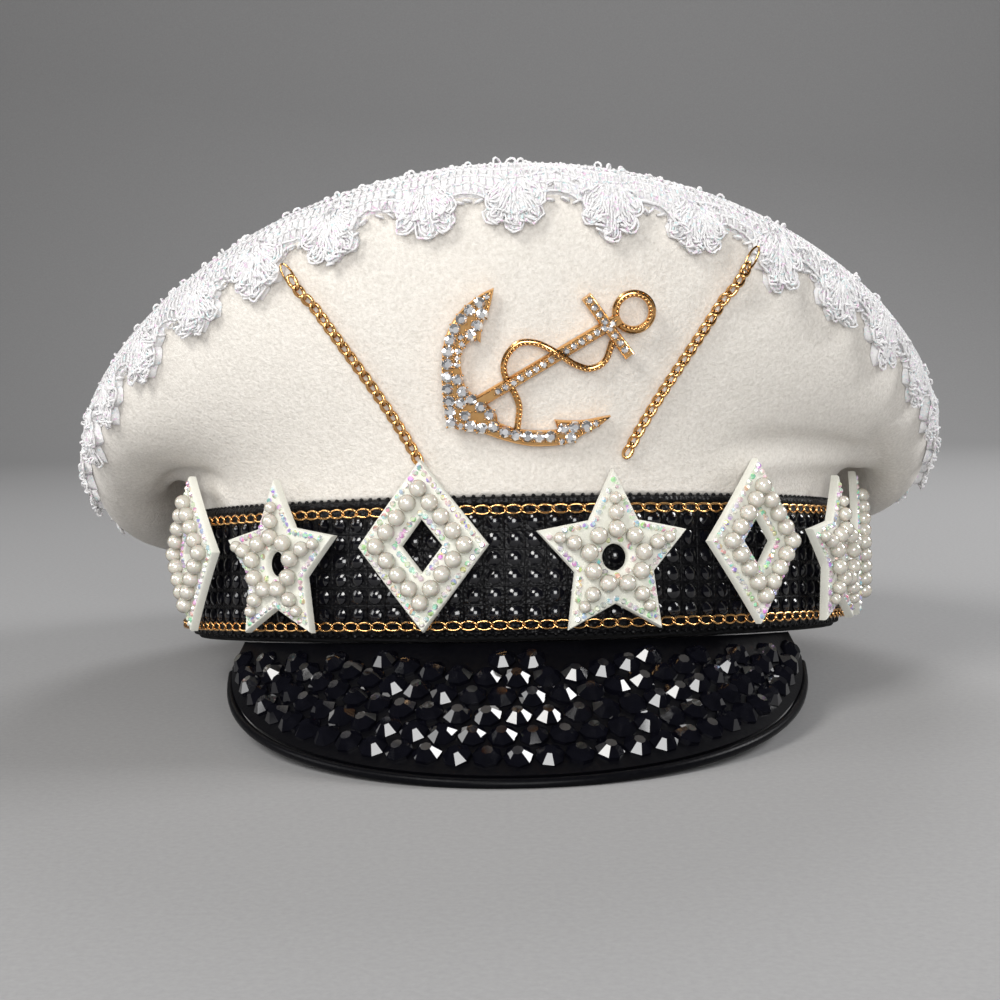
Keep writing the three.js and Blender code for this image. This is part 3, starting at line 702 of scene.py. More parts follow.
def rainbow_crystal():
    """Clear cut stones with a rainbow coating."""
    finish = Finish("rainbow_crystal", {"Metallic": 0.35, "Coat Weight": 1.0, "Coat Roughness": 0.03})
    place = finish.cells(1.3)
    tint = finish.mix(0.65, (1.0, 0.96, 0.97), place)
    finish.color(finish.mix(finish.noise(2.4).above(0.5) * 0.6, tint, (1.0, 0.97, 0.92)))
    finish.rough(0.10 + 0.12 * finish.gray(place))
    return finish.material


def pearl():
    """Pearl coating over a cream bead, with painted shade darkening it towards its rim as seen from the
    camera.
    """
    finish = Finish("pearl", {
        "Coat Weight": 1.0, "Coat Roughness": 0.15, "Coat IOR": 1.8, "Specular IOR Level": 1.0,
        "Subsurface Weight": 0.1,
        "Subsurface Scale": 0.8 * MM})
    # Painted shade: the bead's colour darkens where its surface turns away from the camera.
    edge = finish.node("ShaderNodeLayerWeight", {}, {"Blend": 0.35}, 1)
    cloud = finish.noise(2.6, 2.0)
    face = finish.mix(cloud, (0.62, 0.58, 0.50), (0.70, 0.67, 0.60))
    # Painted rim shade: towards the rim the colour goes to dark brown.
    finish.color(finish.mix(edge, face, (0.30, 0.26, 0.18)))
    finish.rough(0.18 + 0.08 * cloud)
    return finish.material


def cream_felt():
    """Cream felt with short loose fibres."""
    finish = Finish("cream_felt", {"Roughness": 1.0, "Sheen Weight": 0.3, "Sheen Roughness": 0.5})
    fibre = finish.noise(0.35, 4.0, 0.7)
    finish.color(finish.mix(fibre, (0.64, 0.64, 0.55), (0.88, 0.87, 0.80)))
    return finish.bump(fibre, 0.22, 0.8).material


CROWN_FABRIC, LACE_THREAD = crown_fabric(), lace_thread()
BLACK_CLOTH, NET_THREAD, VISOR_GLOSS = black_cloth(), net_thread(), visor_gloss()
NET_GLASS, VISOR_GLASS = black_glass("net_glass", 0.12), black_glass("visor_glass", 0.03)
GOLD, CLEAR_CRYSTAL, RAINBOW_CRYSTAL = gold(), clear_crystal(), rainbow_crystal()
PEARL_COAT, CREAM_FELT = pearl(), cream_felt()

rng = np.random.default_rng(7)


# Pieces.


def crown_wall():
    """The crown's wall: outer cloth over the padded edge, and the inner face behind it."""
    columns, rows = 256, 56
    angle = whole_turn(columns)[None, :]
    share = np.linspace(0, 1, rows)[:, None]
    length = np.interp(np.degrees(angle), np.arange(361), CROWN_LENGTHS)
    point, normal = on_crown(np.broadcast_to(angle, (rows, columns)), share * length)
    inner = point - normal * CLOTH
    shape = np.concatenate([point, inner[::-2]])
    form = Form().add(shape, grid(len(shape), columns, close_rows=True, close_columns=True))
    made = form.piece("crown_cloth", CROWN_FABRIC, "crown_fabric", ["crown_wall"])


def crown_top():
    """The top panel, seamed inside the padded edge."""
    columns, rings = 192, 22
    angle = whole_turn(columns)[None, :]
    share = np.linspace(0.02, 1, rings)[:, None] - 0 * angle
    share[-1] -= CLEARANCE / TOP_HALF_LENGTH
    upper = top_point(angle + 0 * share, share)
    upper[..., 2] -= SEAM_DIMPLE["depth"] * np.exp(-((1 - share) / SEAM_DIMPLE["width"]) ** 2)
    lower = upper - top_normal(angle + 0 * share, share) * CLOTH
    shape = np.concatenate([upper, lower[::-1]])
    faces = grid(len(shape), columns, close_columns=True)
    last = (len(shape) - 1) * columns
    faces += [list(range(columns)), list(range(last, last + columns))]
    Form().add(shape, faces).piece("top_panel", CROWN_FABRIC, "crown_fabric", ["crown_top"], sharp=40)


def lay_on_lace(cluster, side, below, height):
    """Takes flat places beside a cluster's middle to the crown's edge."""
    angle = 2 * np.pi * cluster / LACE_CLUSTERS
    point, normal = over_edge(angle + side / round_pace(angle), below)
    return point + normal * np.asarray(height)[..., None]


def lace_ground():
    """Rows of crochet along the padded edge: cords with bars between them on a scalloped sheet."""

    def place_at(angle, share, height):
        scallop = np.cos(LACE_CLUSTERS * angle)
        low = LACE_VALLEY - 0.6 + 1.2 * scallop
        high = -(LACE_TOP_VALLEY + 1.0 + 1.3 * scallop)
        point, normal = over_edge(angle, high + (low - high) * share)
        return point + normal * height, normal

    columns, rows, cords, bars = 720, 13, 12, 440
    cord_radius, bar_radius = 0.40, 0.3
    bar_height = LACE_RISE - 0.7
    angle = whole_turn(columns)
    share = np.linspace(0, 1, rows)[:, None]
    height = LACE_RISE - 0.95 - 2.2 * (np.abs(share - 0.5) > 0.49) + 0 * angle
    sheet, _ = place_at(angle + 0 * share, share + 0 * angle, height[..., None])
    form = Form().add(sheet, grid(rows, columns, close_columns=True))
    rungs = whole_turn(bars)
    shares = np.linspace(0.01, 0.99, cords)
    for share in shares:
        lumps = cord_radius + 0.08 * rng.standard_normal(columns)
        path, up = place_at(angle, share + 0.006 * rng.standard_normal(columns), LACE_RISE - 0.8)
        form.add(*tube(path, up, lumps, 4, closed=True))
    for share, beyond in zip(shares, shares[1:]):
        starts, up = place_at(rungs + rng.normal(0, 0.001, bars), share, bar_height)
        middles, _ = place_at(rungs + rng.normal(0, 0.0015, bars), (share + beyond) / 2, LACE_RISE - 0.55)
        ends, _ = place_at(rungs + rng.normal(0, 0.001, bars), beyond, bar_height)
        for rung in zip(starts, middles, ends, up):
            form.add(*tube(rung[:3], rung[3], bar_radius, 4))
    form.piece("lace_ground", LACE_THREAD, "lace", ["lace_trim"])


# Lobes of one lace cluster. Columns: direction from straight down in degrees, how far its root is
# sideways from the cluster's middle and below the seam, length, width.
LOBES = (
    {"turn": -54, "side": -1.3, "start": 14.0, "length": 6.4, "width": 4.4},
    {"turn": -28, "side": -0.9, "start": 14.2, "length": 8.4, "width": 4.6},
    {"turn": 2, "side": 0.0, "start": 14.4, "length": 10.0, "width": 4.9},
    {"turn": 30, "side": 0.9, "start": 14.2, "length": 9.0, "width": 4.7},
    {"turn": 57, "side": 1.3, "start": 14.0, "length": 6.6, "width": 4.5},
)
TOP_LOBES = (
    {"turn": -34, "side": -1.8, "start": 6.6, "length": 5.4, "width": 4.2},
    {"turn": 2, "side": 0.0, "start": 6.8, "length": 6.4, "width": 4.6},
    {"turn": 36, "side": 1.8, "start": 6.6, "length": 5.4, "width": 4.2},
)


class Lobe:
    """One rounded lobe of a lace cluster, lying on the crown."""

    def __init__(self, cluster, row, sign):
        self.cluster, self.row, self.sign = cluster, row, sign
        self.turn = math.radians(row["turn"] + rng.uniform(-6, 6))
        self.length = row["length"] * rng.uniform(0.9, 1.1)
        self.half = row["width"] / 2 * rng.uniform(0.92, 1.08)
        self.lift = LACE_RISE - 1.1 + rng.uniform(-0.25, 0.25)

    def lay(self, along, across, height):
        side = self.row["side"] + along * math.sin(self.turn) + across * math.cos(self.turn)
        below = self.row["start"] + along * math.cos(self.turn) - across * math.sin(self.turn)
        return lay_on_lace(self.cluster, side, self.sign * below, height)

    def swell(self, across):
        return self.lift + 0.75 * np.sqrt(np.clip(1 - (across / self.half) ** 2, 0, 1))

    def sheet(self, form):
        """The lobe's body, rounded at its end."""
        steps, ribs = 7, 7
        along = np.linspace(0, self.length, steps)[:, None]
        past = np.clip((along - self.length + self.half) / self.half, 0, 0.999)
        across = np.linspace(-1, 1, ribs)[None, :] * self.half * np.sqrt(1 - past ** 2)
        height = self.swell(across) - 0.35
        height[:, [0, -1]] = 0.2
        height[-1] = 0.2
        form.add(self.lay(along + 0 * across, across, height), grid(steps, ribs))

    def wander(self, travel):
        """Slow, uneven drift of a hand-laid thread."""
        marks = np.arange(0, travel[-1] + 2, 1.1)
        return np.interp(travel, marks, rng.normal(0, 0.26, len(marks)))

    def threads(self, form):
        """Threads that run down one side of the lobe, round its end and back."""
        for share in (0.88, 0.62, 0.36, 0.12):
            width = share * self.half
            middle = self.length - self.half
            leg = max(middle, 0.5)
            travel = np.linspace(0, 2 * leg + np.pi * width, round((2 * leg + np.pi * width) / 0.72))
            round_end = np.clip((travel - leg) / width, 0, np.pi)
            bend = leg + width * np.sin(round_end)
            back = 2 * leg + np.pi * width - travel
            along = np.where(travel < leg, travel, np.where(round_end < np.pi, bend, back))
            along = along + middle - leg
            across = -width * np.cos(round_end)
            lumps = 1 + 0.35 * np.sin(2 * np.pi * travel / 1.4 + rng.uniform(0, 6))
            along, across = (line + self.wander(travel) for line in (along, across))
            path = self.lay(along, across, self.swell(across) + 0.6 * self.wander(travel))
            _, up = over_edge(2 * np.pi * self.cluster / LACE_CLUSTERS, self.sign * self.row["start"])
            form.add(*tube(path, np.broadcast_to(up, path.shape), LACE_THREAD_WIDTH / 2 * lumps, 4))


def picot(form, cluster, side, below, height, size):
    """A small loop of thread that stands up from the lace."""
    turn = whole_turn(9)
    lean = rng.uniform(-0.8, 0.8)
    path = lay_on_lace(cluster, side + size * np.cos(turn) * math.cos(lean),
                       below + size * np.cos(turn) * math.sin(lean), height + size * (1 + np.sin(turn)))
    angle = 2 * np.pi * cluster / LACE_CLUSTERS
    _, out = over_edge(angle, below)
    up = unit(np.cross(out, [math.cos(angle), math.sin(angle), 0])) + 0.01
    form.add(*tube(path, np.broadcast_to(up, path.shape), LOOP_THREAD_WIDTH / 2, 4, closed=True))


def lace():
    """The lace: its ground, its clusters of lobes, and small loops all over them."""
    lace_ground()
    lobes, loops = Form(), Form()
    for number in range(LACE_CLUSTERS):
        cluster = number + 0.1 + rng.uniform(-0.07, 0.07)
        for rows, sign in ((LOBES, 1), (TOP_LOBES, -1)):
            for row in rows:
                lobe = Lobe(cluster, row, sign)
                lobe.sheet(lobes)
                lobe.threads(lobes)
        for _ in range(LACE_PICOTS["field"]):
            spread = rng.uniform(-0.5, 0.5)
            below, size = rng.uniform(-8, 15), rng.uniform(0.5, 0.85)
            picot(loops, cluster + spread, 0.0, below, LACE_RISE - 1.1, size)
        for _ in range(LACE_PICOTS["lobes"]):
            turn, reach, size = rng.uniform(-1.1, 1.1), rng.uniform(5.0, 9.5), rng.uniform(0.5, 0.8)
            below = LOBES[2]["start"] + reach * math.cos(turn)
            picot(loops, cluster, 0.8 * reach * math.sin(turn), below, LACE_RISE - 0.9, size)
        for share in np.linspace(-0.5, 0.5, LACE_PICOTS["edge"], endpoint=False):
            below = LACE_VALLEY + 0.3 + 0.9 * math.cos(2 * np.pi * share)
            picot(loops, cluster + share, 0.0, below, 0.3, 0.9)
    top_loops = {"sides": (-2.4, 0.8), "below": 1.0, "size": 1.5}
    for side in top_loops["sides"]:
        picot(loops, 0, side, top_loops["below"], LACE_RISE, top_loops["size"])
    lobes.piece("lace_clusters", LACE_THREAD, "lace")
    loops.piece("lace_loops", LACE_THREAD, "lace")


def keep_above_table(made):
    """Lifts a piece's points that would sink into the table."""
    for vertex in made.data.vertices:
        vertex.co.z = max(vertex.co.z, 0)


def band():
    """The band's cloth, pressed flat where the hat stands on it."""
    form = oval_ring(Form(), -BAND_WALL, 0, 0, BAND_HEIGHT)
    made = form.piece("band_cloth", BLACK_CLOTH, "band_black", ["band"], sharp=35)
    keep_above_table(made)


def stone_band():
    """Net backing with its cords and looped edge, and rows of small domed stones."""
    face = CLEARANCE + NET_BACK
    net = oval_ring(Form(), CLEARANCE, face, NET_MARGIN, BAND_HEIGHT - NET_MARGIN)
    loops = round_band(face, PICOT["pitch"])
    for height in (NET_MARGIN, BAND_HEIGHT + PICOT["radius"]):
        net.copies(*ball(2 * PICOT["radius"], 8, 6), band_frames(loops, face - 0.3, height))
    edge = beside_band(whole_turn(240), face - 0.5, BAND_HEIGHT - 0.6)
    net.add(*tube(edge, [0, 0, 1], 1.2, 8, closed=True))
    middle = (BAND_HEIGHT - UPPER_CHAIN_INSET + LOWER_CHAIN_RISE) / 2
    for row in range(-1, NET_STONE["rows"] + 2):
        height = middle + (row - NET_STONE["rows"] / 2) * NET_STONE["row"]
        if NET_MARGIN < height < BAND_HEIGHT - NET_MARGIN:
            path = beside_band(whole_turn(240), face, height)
            net.add(*tube(path, [0, 0, 1], NET_CORD, 5, closed=True))
    for angle in round_band(face, NET_STONE["pitch"], 0.5):
        path = beside_band(angle, face, np.array([NET_MARGIN, BAND_HEIGHT - NET_MARGIN]))
        net.add(*tube(path, band_normal(angle), NET_CORD, 5))
    net.piece("stone_net", NET_THREAD, "band_black", ["stone_band"])
    stones = Form()
    gem = dome(NET_STONE["across"], NET_STONE["rise"], NET_STONE["bulge"])
    for row in range(NET_STONE["rows"]):
        height = middle + (row - (NET_STONE["rows"] - 1) / 2) * NET_STONE["row"]
        places = band_frames(round_band(face, NET_STONE["pitch"]), face, height)
        stones.copies(*gem, [tilted(place, UNEVEN["band"]) for place in places])
    stones.piece("band_stones", NET_GLASS, "stone_black", sharp=50)


def tilted(place, degrees):
    """A frame turned at random about its out direction and tipped a little."""
    origin, across, along, out = place
    tip = np.tan(np.radians(rng.normal(0, degrees / 2, 2)))
    out = unit(out + tip[0] * across + tip[1] * along)
    turn = rng.uniform(0, 2 * np.pi)
    first = unit(np.cos(turn) * across + np.sin(turn) * along)
    first = unit(first - out * (first @ out))
    return origin, first, np.cross(out, first), out


def band_chains():
    """Links of the two chains round the band."""
    outside = NET_FACE + CLEARANCE + BAND_CHAIN / 2
    link = chain_link(BAND_LINK["length"], BAND_LINK["width"], BAND_LINK["wire"], BAND_LINK["twist"])
    heights = {"band_chain_top": BAND_HEIGHT - UPPER_CHAIN_INSET, "band_chain_bottom": LOWER_CHAIN_RISE}
    for name, height in heights.items():
        frames = band_frames(round_band(outside, BAND_LINK["pitch"]), outside, height)
        Form().copies(*link, frames).piece(name + "_links", GOLD, "gold", [name])


def chain_line(route):
    """The line of a chain up the front, with the way out of the crown at each point."""
    share = np.linspace(0, 1, 80)
    (foot_angle, foot), (head_angle, head) = route
    angle = np.radians(foot_angle + (head_angle - foot_angle) * share)
    to_tips = np.interp(np.degrees(angle) % 360, np.arange(361), CROWN_LENGTHS) - LACE_TIP
    distance = (foot + (head - foot) * share) * to_tips
    point, normal = on_crown(angle, distance)
    radius = FRONT_LINK["width"] / 2
    into = np.clip((5 * radius + distance - to_tips) / (4 * radius), 0, 1)
    stand = 0.95 * radius + eased(into) * CHAIN_OVER_LACE
    return point + normal * stand[:, None], normal


def front_chains():
    """Links of the chains up the front, each with a long eye at its head."""
    link = chain_link(FRONT_LINK["length"], FRONT_LINK["width"], FRONT_LINK["wire"], FRONT_LINK["twist"])
    eye = chain_link(1.5 * FRONT_LINK["length"], FRONT_LINK["width"], 0.55, 6)
    for name, route in FRONT_CHAIN_ROUTES.items():
        line, normal = chain_line(route)
        reach = lengths_along(line)

        def frame_at(distance):
            point, out = (values_at(distance, reach, values) for values in (line, normal))
            along = unit(values_at(distance + 1, reach, line) - values_at(distance - 1, reach, line))
            out = unit(out - along * (out @ along))
            return point, along, np.cross(out, along), out

        last = reach[-1] - 1.1 * FRONT_LINK["length"]
        places = np.arange(FRONT_LINK["length"] / 2, last, FRONT_LINK["pitch"])
        form = Form().copies(*link, [frame_at(place) for place in places])
        form.copies(*eye, [frame_at(reach[-1] - 0.75 * FRONT_LINK["length"])])
        form.piece(name + "_links", GOLD, "gold", [name])


def visor_ends(across):
    """The visor's seat under the band and its edge, at a share of its turn."""
    turn = math.radians(across * VISOR_TURN_ANGLE)
    ray = np.array([math.sin(turn), -math.cos(turn)])
    wide, long = (BAND_HALF_WIDTH - BAND_WALL / 2) ** 2, (BAND_HALF_LENGTH - BAND_WALL / 2) ** 2
    square = ray[0] ** 2 / wide + ray[1] ** 2 / long
    half = -VISOR_CENTRE * ray[1] / long
    far = (math.sqrt(half ** 2 + square * (1 - VISOR_CENTRE ** 2 / long)) - half) / square
    inner = np.array([ray[0] * far, ray[1] * far - VISOR_CENTRE, -CLEARANCE])
    edge = np.array([VISOR_HALF_WIDTH * ray[0], VISOR_REACH * ray[1] - VISOR_CENTRE,
                     -CLEARANCE - VISOR_DROP * math.cos(turn) ** VISOR_DROP_POWER])
    return inner, edge


def visor_place(across, down):
    """A frame on the visor's upper face (point, along the edge, down the slope, out), and the
    length of the slope there."""
    step = 1e-3
    lines = [visor_ends(across + shift) for shift in (-step, 0, step)]
    before, point, beyond = (inner + (edge - inner) * down for inner, edge in lines)
    slope = lines[1][1] - lines[1][0]
    length = np.linalg.norm(slope)
    along = unit(beyond - before)
    return (point, along, slope / length, unit(np.cross(slope, along))), length


def visor():
    """The visor's sheet and its bound edge."""
    steps, rows = 96, 10
    upper, lower = [], []
    for across in np.linspace(-1, 1, steps):
        places = [visor_place(across, down)[0] for down in np.linspace(0, 1, rows)]
        upper.append([place[0] for place in places])
        lower.append([place[0] - place[3] * VISOR_SHEET for place in places])
    upper, lower = np.array(upper), np.array(lower)
    shape = np.concatenate([upper, lower[:, ::-1]], axis=1)
    faces = grid(steps, 2 * rows, close_columns=True)
    faces += [list(range(2 * rows))[::-1], list(range((steps - 1) * 2 * rows, steps * 2 * rows))]
    Form().add(shape, faces).piece("visor_sheet", VISOR_GLOSS, "visor_black", ["visor"], sharp=35)
    path, up = [], []
    for across in np.linspace(-1, 1, 120):
        (point, _, slope, out), _ = visor_place(across, 1)
        path.append(point - out * VISOR_SHEET / 2 + slope * (CLEARANCE + VISOR_EDGE_RADIUS))
        up.append(out)
    rim = Form().add(*tube(path, np.array(up), VISOR_EDGE_RADIUS, 12))
    made = rim.piece("visor_rim", VISOR_GLOSS, "visor_black", ["visor_binding"], sharp=50)
    keep_above_table(made)


def stone_places(row):
    """Frames along one row of the visor's stones, evenly spaced from the middle out."""
    back = STONE["edge"] + row * STONE["row"]
    places = []
    for side in (-1, 1):
        travelled, last = 0.0, None
        start = STONE["pitch"] / 2 if row % 2 else (0 if side < 0 else STONE["pitch"])
        for i in range(1001):
            across = side * i / 1000
            _, length = visor_place(across, 0)
            if length < back + STONE_FROM_BAND:
                break
            place, _ = visor_place(across, 1 - back / length)
            travelled += 0 if last is None else np.linalg.norm(place[0] - last)
            last = place[0]
            if travelled >= start:
                places.append(place)
                start += STONE["pitch"]
    return places


def visor_stones():
    """Octagonal black stones, glued by hand so that no two lie quite alike."""
    gem = cut_stone(STONE["across"], STONE["table"], STONE["rise"], sink=1.2)
    form = Form()
    _, length = visor_place(0, 0)
    rows = int((length - STONE_FROM_BAND - STONE["edge"]) / STONE["row"]) + 1
    for row in range(rows):
        form.copies(*gem, [tilted(place, UNEVEN["visor"]) for place in stone_places(row)])
    form.piece("visor_gems", VISOR_GLASS, "stone_black", smooth=False)


# Anchor tables: across and up from its middle, as shares of its width.
ANCHOR_ARMS = np.array([
    [-0.483, -0.339], [-0.497, -0.168], [-0.493, -0.026], [-0.479, 0.065], [-0.444, 0.145],
    [-0.388, 0.214], [-0.309, 0.271], [-0.242, 0.303], [-0.267, 0.208], [-0.303, 0.137],
    [-0.313, 0.055], [-0.339, 0.079], [-0.388, 0.038], [-0.408, -0.026], [-0.390, -0.150],
    [-0.335, -0.205], [-0.257, -0.277], [-0.246, -0.331], [-0.154, -0.366], [-0.055, -0.380],
    [0.038, -0.380], [0.020, -0.331], [0.087, -0.339], [0.158, -0.341], [0.230, -0.331],
    [0.285, -0.323], [0.230, -0.366], [0.158, -0.402], [0.087, -0.440], [0.002, -0.451],
    [-0.111, -0.444], [-0.232, -0.408], [-0.339, -0.366],
]) * ANCHOR_WIDTH
ANCHOR_SHANK = np.array([[-0.408, -0.267], [0.336, 0.136]]) * ANCHOR_WIDTH
ANCHOR_STOCK = np.array([[0.182, 0.246], [0.378, -0.040]]) * ANCHOR_WIDTH
ANCHOR_RING = {"centre": np.array([0.402, 0.164]) * ANCHOR_WIDTH, "radius": 0.085 * ANCHOR_WIDTH}
ANCHOR_ROPE_ROUTE = np.array([
    [0.300, 0.030, 0.6], [0.263, -0.061, 0.6], [0.194, -0.093, 0.6], [0.123, -0.069, 0.8],
    [0.065, -0.026, 1.5], [0.002, 0.016, 1.4], [-0.061, 0.042, 0.8], [-0.133, 0.042, 0.6],
    [-0.188, -0.005, 0.6], [-0.210, -0.069, 0.7], [-0.196, -0.130, 0.8], [-0.164, -0.188, 0.7],
    [-0.143, -0.253, 0.6], [-0.150, -0.323, 0.7], [-0.160, -0.380, 0.9],
]) * [ANCHOR_WIDTH, ANCHOR_WIDTH, ANCHOR_ROPE]


def turned(flat):
    """Flat anchor places, turned as the brooch is pinned on."""
    turn = math.radians(ANCHOR_TURN)
    cos, sin = math.cos(turn), math.sin(turn)
    return flat @ np.array([[cos, sin], [-sin, cos]])


def anchor_frame():
    """Where the flat anchor lies against the crown: origin, across, up, out."""
    angle = math.radians(ANCHOR_ANGLE)
    point, normal = on_crown(angle, ANCHOR_RISE)
    higher, _ = on_crown(angle, ANCHOR_RISE + 1)
    across = unit(np.cross(higher - point, normal))
    up = unit(np.cross(normal, across))
    radius = np.linalg.norm(outward(angle))
    marks = turned(np.vstack([ANCHOR_ARMS, ANCHOR_RING["centre"]]))
    cloth, _ = on_crown(angle + marks[:, 0] / radius, ANCHOR_RISE + marks[:, 1])
    fullest = max(0, ((cloth - point) @ normal).max())
    return point + normal * (fullest + CLEARANCE), across, up, normal


def even_loop(outline, count):
    """A closed outline resampled at even steps."""
    closed = np.vstack([outline, outline[:1]])
    reach = lengths_along(closed)
    return values_at(np.linspace(0, reach[-1], count, endpoint=False), reach, closed)


def rounded_outline(outline, steps=4, corner=42):
    """A closed outline made smooth between its sharp corners."""
    before, after = outline - np.roll(outline, 1, 0), np.roll(outline, -1, 0) - outline
    turn = np.arctan2(before[:, 0] * after[:, 1] - before[:, 1] * after[:, 0], (before * after).sum(1))
    sharp = np.flatnonzero(np.abs(turn) > math.radians(corner))
    runs = []
    for first, last in zip(sharp, np.roll(sharp, -1)):
        run = outline[np.arange(first, last + (last <= first) * len(outline) + 1) % len(outline)]
        runs.append(spline(run, steps * (len(run) - 1) + 1)[:-1] if len(run) > 2 else run[:-1])
    return np.concatenate(runs)


def inside(outline, points):
    """Which points lie inside a flat outline."""
    found = np.zeros(len(points), bool)
    x, y = points[:, 0], points[:, 1]
    for (x1, y1), (x2, y2) in zip(outline, np.roll(outline, -1, 0)):
        crosses = (y1 > y) != (y2 > y)
        found ^= crosses & (x < (x2 - x1) * (y - y1) / (y2 - y1 + 1e-12) + x1)
    return found


def along_edges(loops, inset, pitch, solid, keep_off):
    """Places at an inset from the loops' edges, on what is solid, a pitch apart and clear of what
    is there."""
    loops = [even_loop(loop, 400) for loop in loops]
    edges = np.concatenate(loops)
    chosen = []
    for loop in loops:
        along = np.roll(loop, -1, 0) - np.roll(loop, 1, 0)
        side = unit(np.stack([along[:, 1], -along[:, 0]], -1)) * inset
        places = np.concatenate([loop + side, loop - side])
        places = places[solid(places)]
        reach = np.linalg.norm(places[:, None] - edges[None], axis=2).min(1)
        for place in places[reach > inset - 0.12]:
            if any(np.hypot(*(place - other)) < pitch for other in chosen):
                continue
            if any(np.hypot(*(place - other[:2])) < other[2] for other in keep_off):
                continue
            chosen.append(place)
    return chosen


def plate_faces(outline, thick, bevel):
    """A flat plate with a bevelled face: points and faces."""
    count = len(outline)
    along = np.roll(outline, -1, 0) - np.roll(outline, 1, 0)
    beyond = np.roll(outline, -1, 0)
    area = 0.5 * np.sum(outline[:, 0] * beyond[:, 1] - beyond[:, 0] * outline[:, 1])
    inward = unit(np.stack([-along[:, 1], along[:, 0]], -1)) * np.sign(area)
    rings = [(outline, 0), (outline, thick - bevel), (outline + inward * bevel, thick)]
    points = np.concatenate([np.c_[ring, np.full(count, z)] for ring, z in rings])
    faces = grid(3, count, close_columns=True)
    return points, faces + [list(range(count))[::-1], list(range(2 * count, 3 * count))]


def anchor():
    """The brooch: a casting with a beaded rope and ring, paved with clear stones."""
    place = anchor_frame()
    casting, stones = Form(), Form()
    arms = turned(rounded_outline(ANCHOR_ARMS))
    casting.copies(*plate_faces(arms, ANCHOR_PLATE, 0.35), [place])
    gems, nubs = [], []
    for (near, far), lift, skip in ((turned(ANCHOR_SHANK), 0.1, 0.2), (turned(ANCHOR_STOCK), 0.3, 0)):
        way = unit(far - near)
        cross = np.array([-way[1], way[0]]) * ANCHOR_BAR / 2
        corners = np.array([near - cross, far - cross, far + cross, near + cross])
        points, faces = plate_faces(corners, ANCHOR_PLATE, 0.3)
        points[:, 2] += lift
        casting.copies(points, faces, [place])
        length = np.linalg.norm(far - near)
        for step in np.arange(skip * length + 1.1, length - 0.7, 1.06 * ANCHOR_BAR_STONE):
            gems.append((*(near + way * step), ANCHOR_BAR_STONE, ANCHOR_PLATE + lift))

    def within(points):
        return inside(arms, points)

    for inset, size in ANCHOR_PAVING:
        keep = [(x, y, ANCHOR_PACK * (size + other) / 2) for x, y, other, _ in gems]
        for x, y in along_edges([arms], inset, ANCHOR_PACK * size, within, keep):
            gems.append((x, y, size, ANCHOR_PLATE))
    tips = arms[[np.argmax(arms @ np.array(way)) for way in ((-0.2, 1), (1, 0.1))]]
    keep = [(x, y, size / 2 + 0.3) for x, y, size, _ in gems]
    for x, y in along_edges([arms], 0.5, 0.8, within, keep):
        if np.linalg.norm(tips - (x, y), axis=1).min() < 0.2 * ANCHOR_WIDTH:
            nubs.append((x, y, 0.75, ANCHOR_PLATE))
    for x, y, size, height in gems:
        spot = tilted(moved(place, (x, y, height - 0.25)), UNEVEN["anchor"])
        stones.copies(*clear_stone(size, PAVING_CUT), [spot])
        for claw in range(4):
            turn = math.radians(45 + 90 * claw)
            nubs.append((x + 0.54 * size * math.cos(turn), y + 0.54 * size * math.sin(turn), 0.55, height))
    for x, y, size, height in nubs:
        casting.copies(*ball(size, 6, 4), [moved(place, (x, y, height))])
    centre = turned(ANCHOR_RING["centre"])
    turn = whole_turn(40)
    ring = np.stack([centre[0] + ANCHOR_RING["radius"] * np.cos(turn),
                     centre[1] + ANCHOR_RING["radius"] * np.sin(turn), 0 * turn + ANCHOR_RING_WIRE / 2], -1)
    rope = spline(np.c_[turned(ANCHOR_ROPE_ROUTE[:, :2]), ANCHOR_ROPE_ROUTE[:, 2]], 110)
    for path, wire, closed in ((ring, ANCHOR_RING_WIRE, True), (rope, ANCHOR_ROPE, False)):
        points, faces = tube(path, [0, 0, 1], wire / 2, 10, closed=closed)
        casting.copies(points, faces, [place])
        beads(casting, path, wire, closed, place)
    casting.piece("anchor_casting", GOLD, "gold", ["anchor"], sharp=45)
    stones.piece("anchor_stones", CLEAR_CRYSTAL, "crystal", smooth=False)


def spline(route, count):
    """A smooth line through a route's points."""
    share = np.linspace(0, len(route) - 1, count)
    index = np.clip(share.astype(int), 0, len(route) - 2)
    part = (share - index)[:, None]
    padded = np.vstack([2 * route[0] - route[1], route, 2 * route[-1] - route[-2]])
    p0, p1, p2, p3 = (padded[index + k] for k in range(4))
    return 0.5 * (2 * p1 + (p2 - p0) * part + (2 * p0 - 5 * p1 + 4 * p2 - p3) * part ** 2
                  + (3 * p1 - p0 - 3 * p2 + p3) * part ** 3)


def beads(form, path, wire, closed, place):
    """A line of beads and a smooth ridge beside it on a wire's face."""
    path = np.vstack([path, path[:1]]) if closed else path
    reach = lengths_along(path)
    along = unit(np.gradient(path, axis=0))
    side = np.stack([-along[:, 1], along[:, 0], 0 * along[:, 0]], -1)
    ridge = path - side * wire * 0.34 + [0, 0, wire * 0.3]
    form.copies(*tube(ridge, [0, 0, 1.0], wire * 0.17, 6), [place])
    for distance in np.arange(0.4, reach[-1] - 0.2, ANCHOR_BEAD_PITCH):
        point, across = (values_at(distance, reach, values) for values in (path, side))
        spot = point + across * wire * 0.2 + [0, 0, wire * 0.5]
        form.copies(*ball(ANCHOR_BEAD, 8, 6), [moved(place, spot)])


def straight_sides(tips, steps):
    """A closed outline with straight sides between its tips, each in that many steps."""
    shares = (np.arange(steps) / steps)[:, None]
    return np.concatenate([tip + (beyond - tip) * shares
                           for tip, beyond in zip(tips, np.roll(tips, -1, 0))])


def lozenge_outline():
    """A lozenge that fills the square from -1 to 1."""
    return straight_sides(np.array([[0, 1], [1, 0], [0, -1], [-1, 0.0]]), 10)


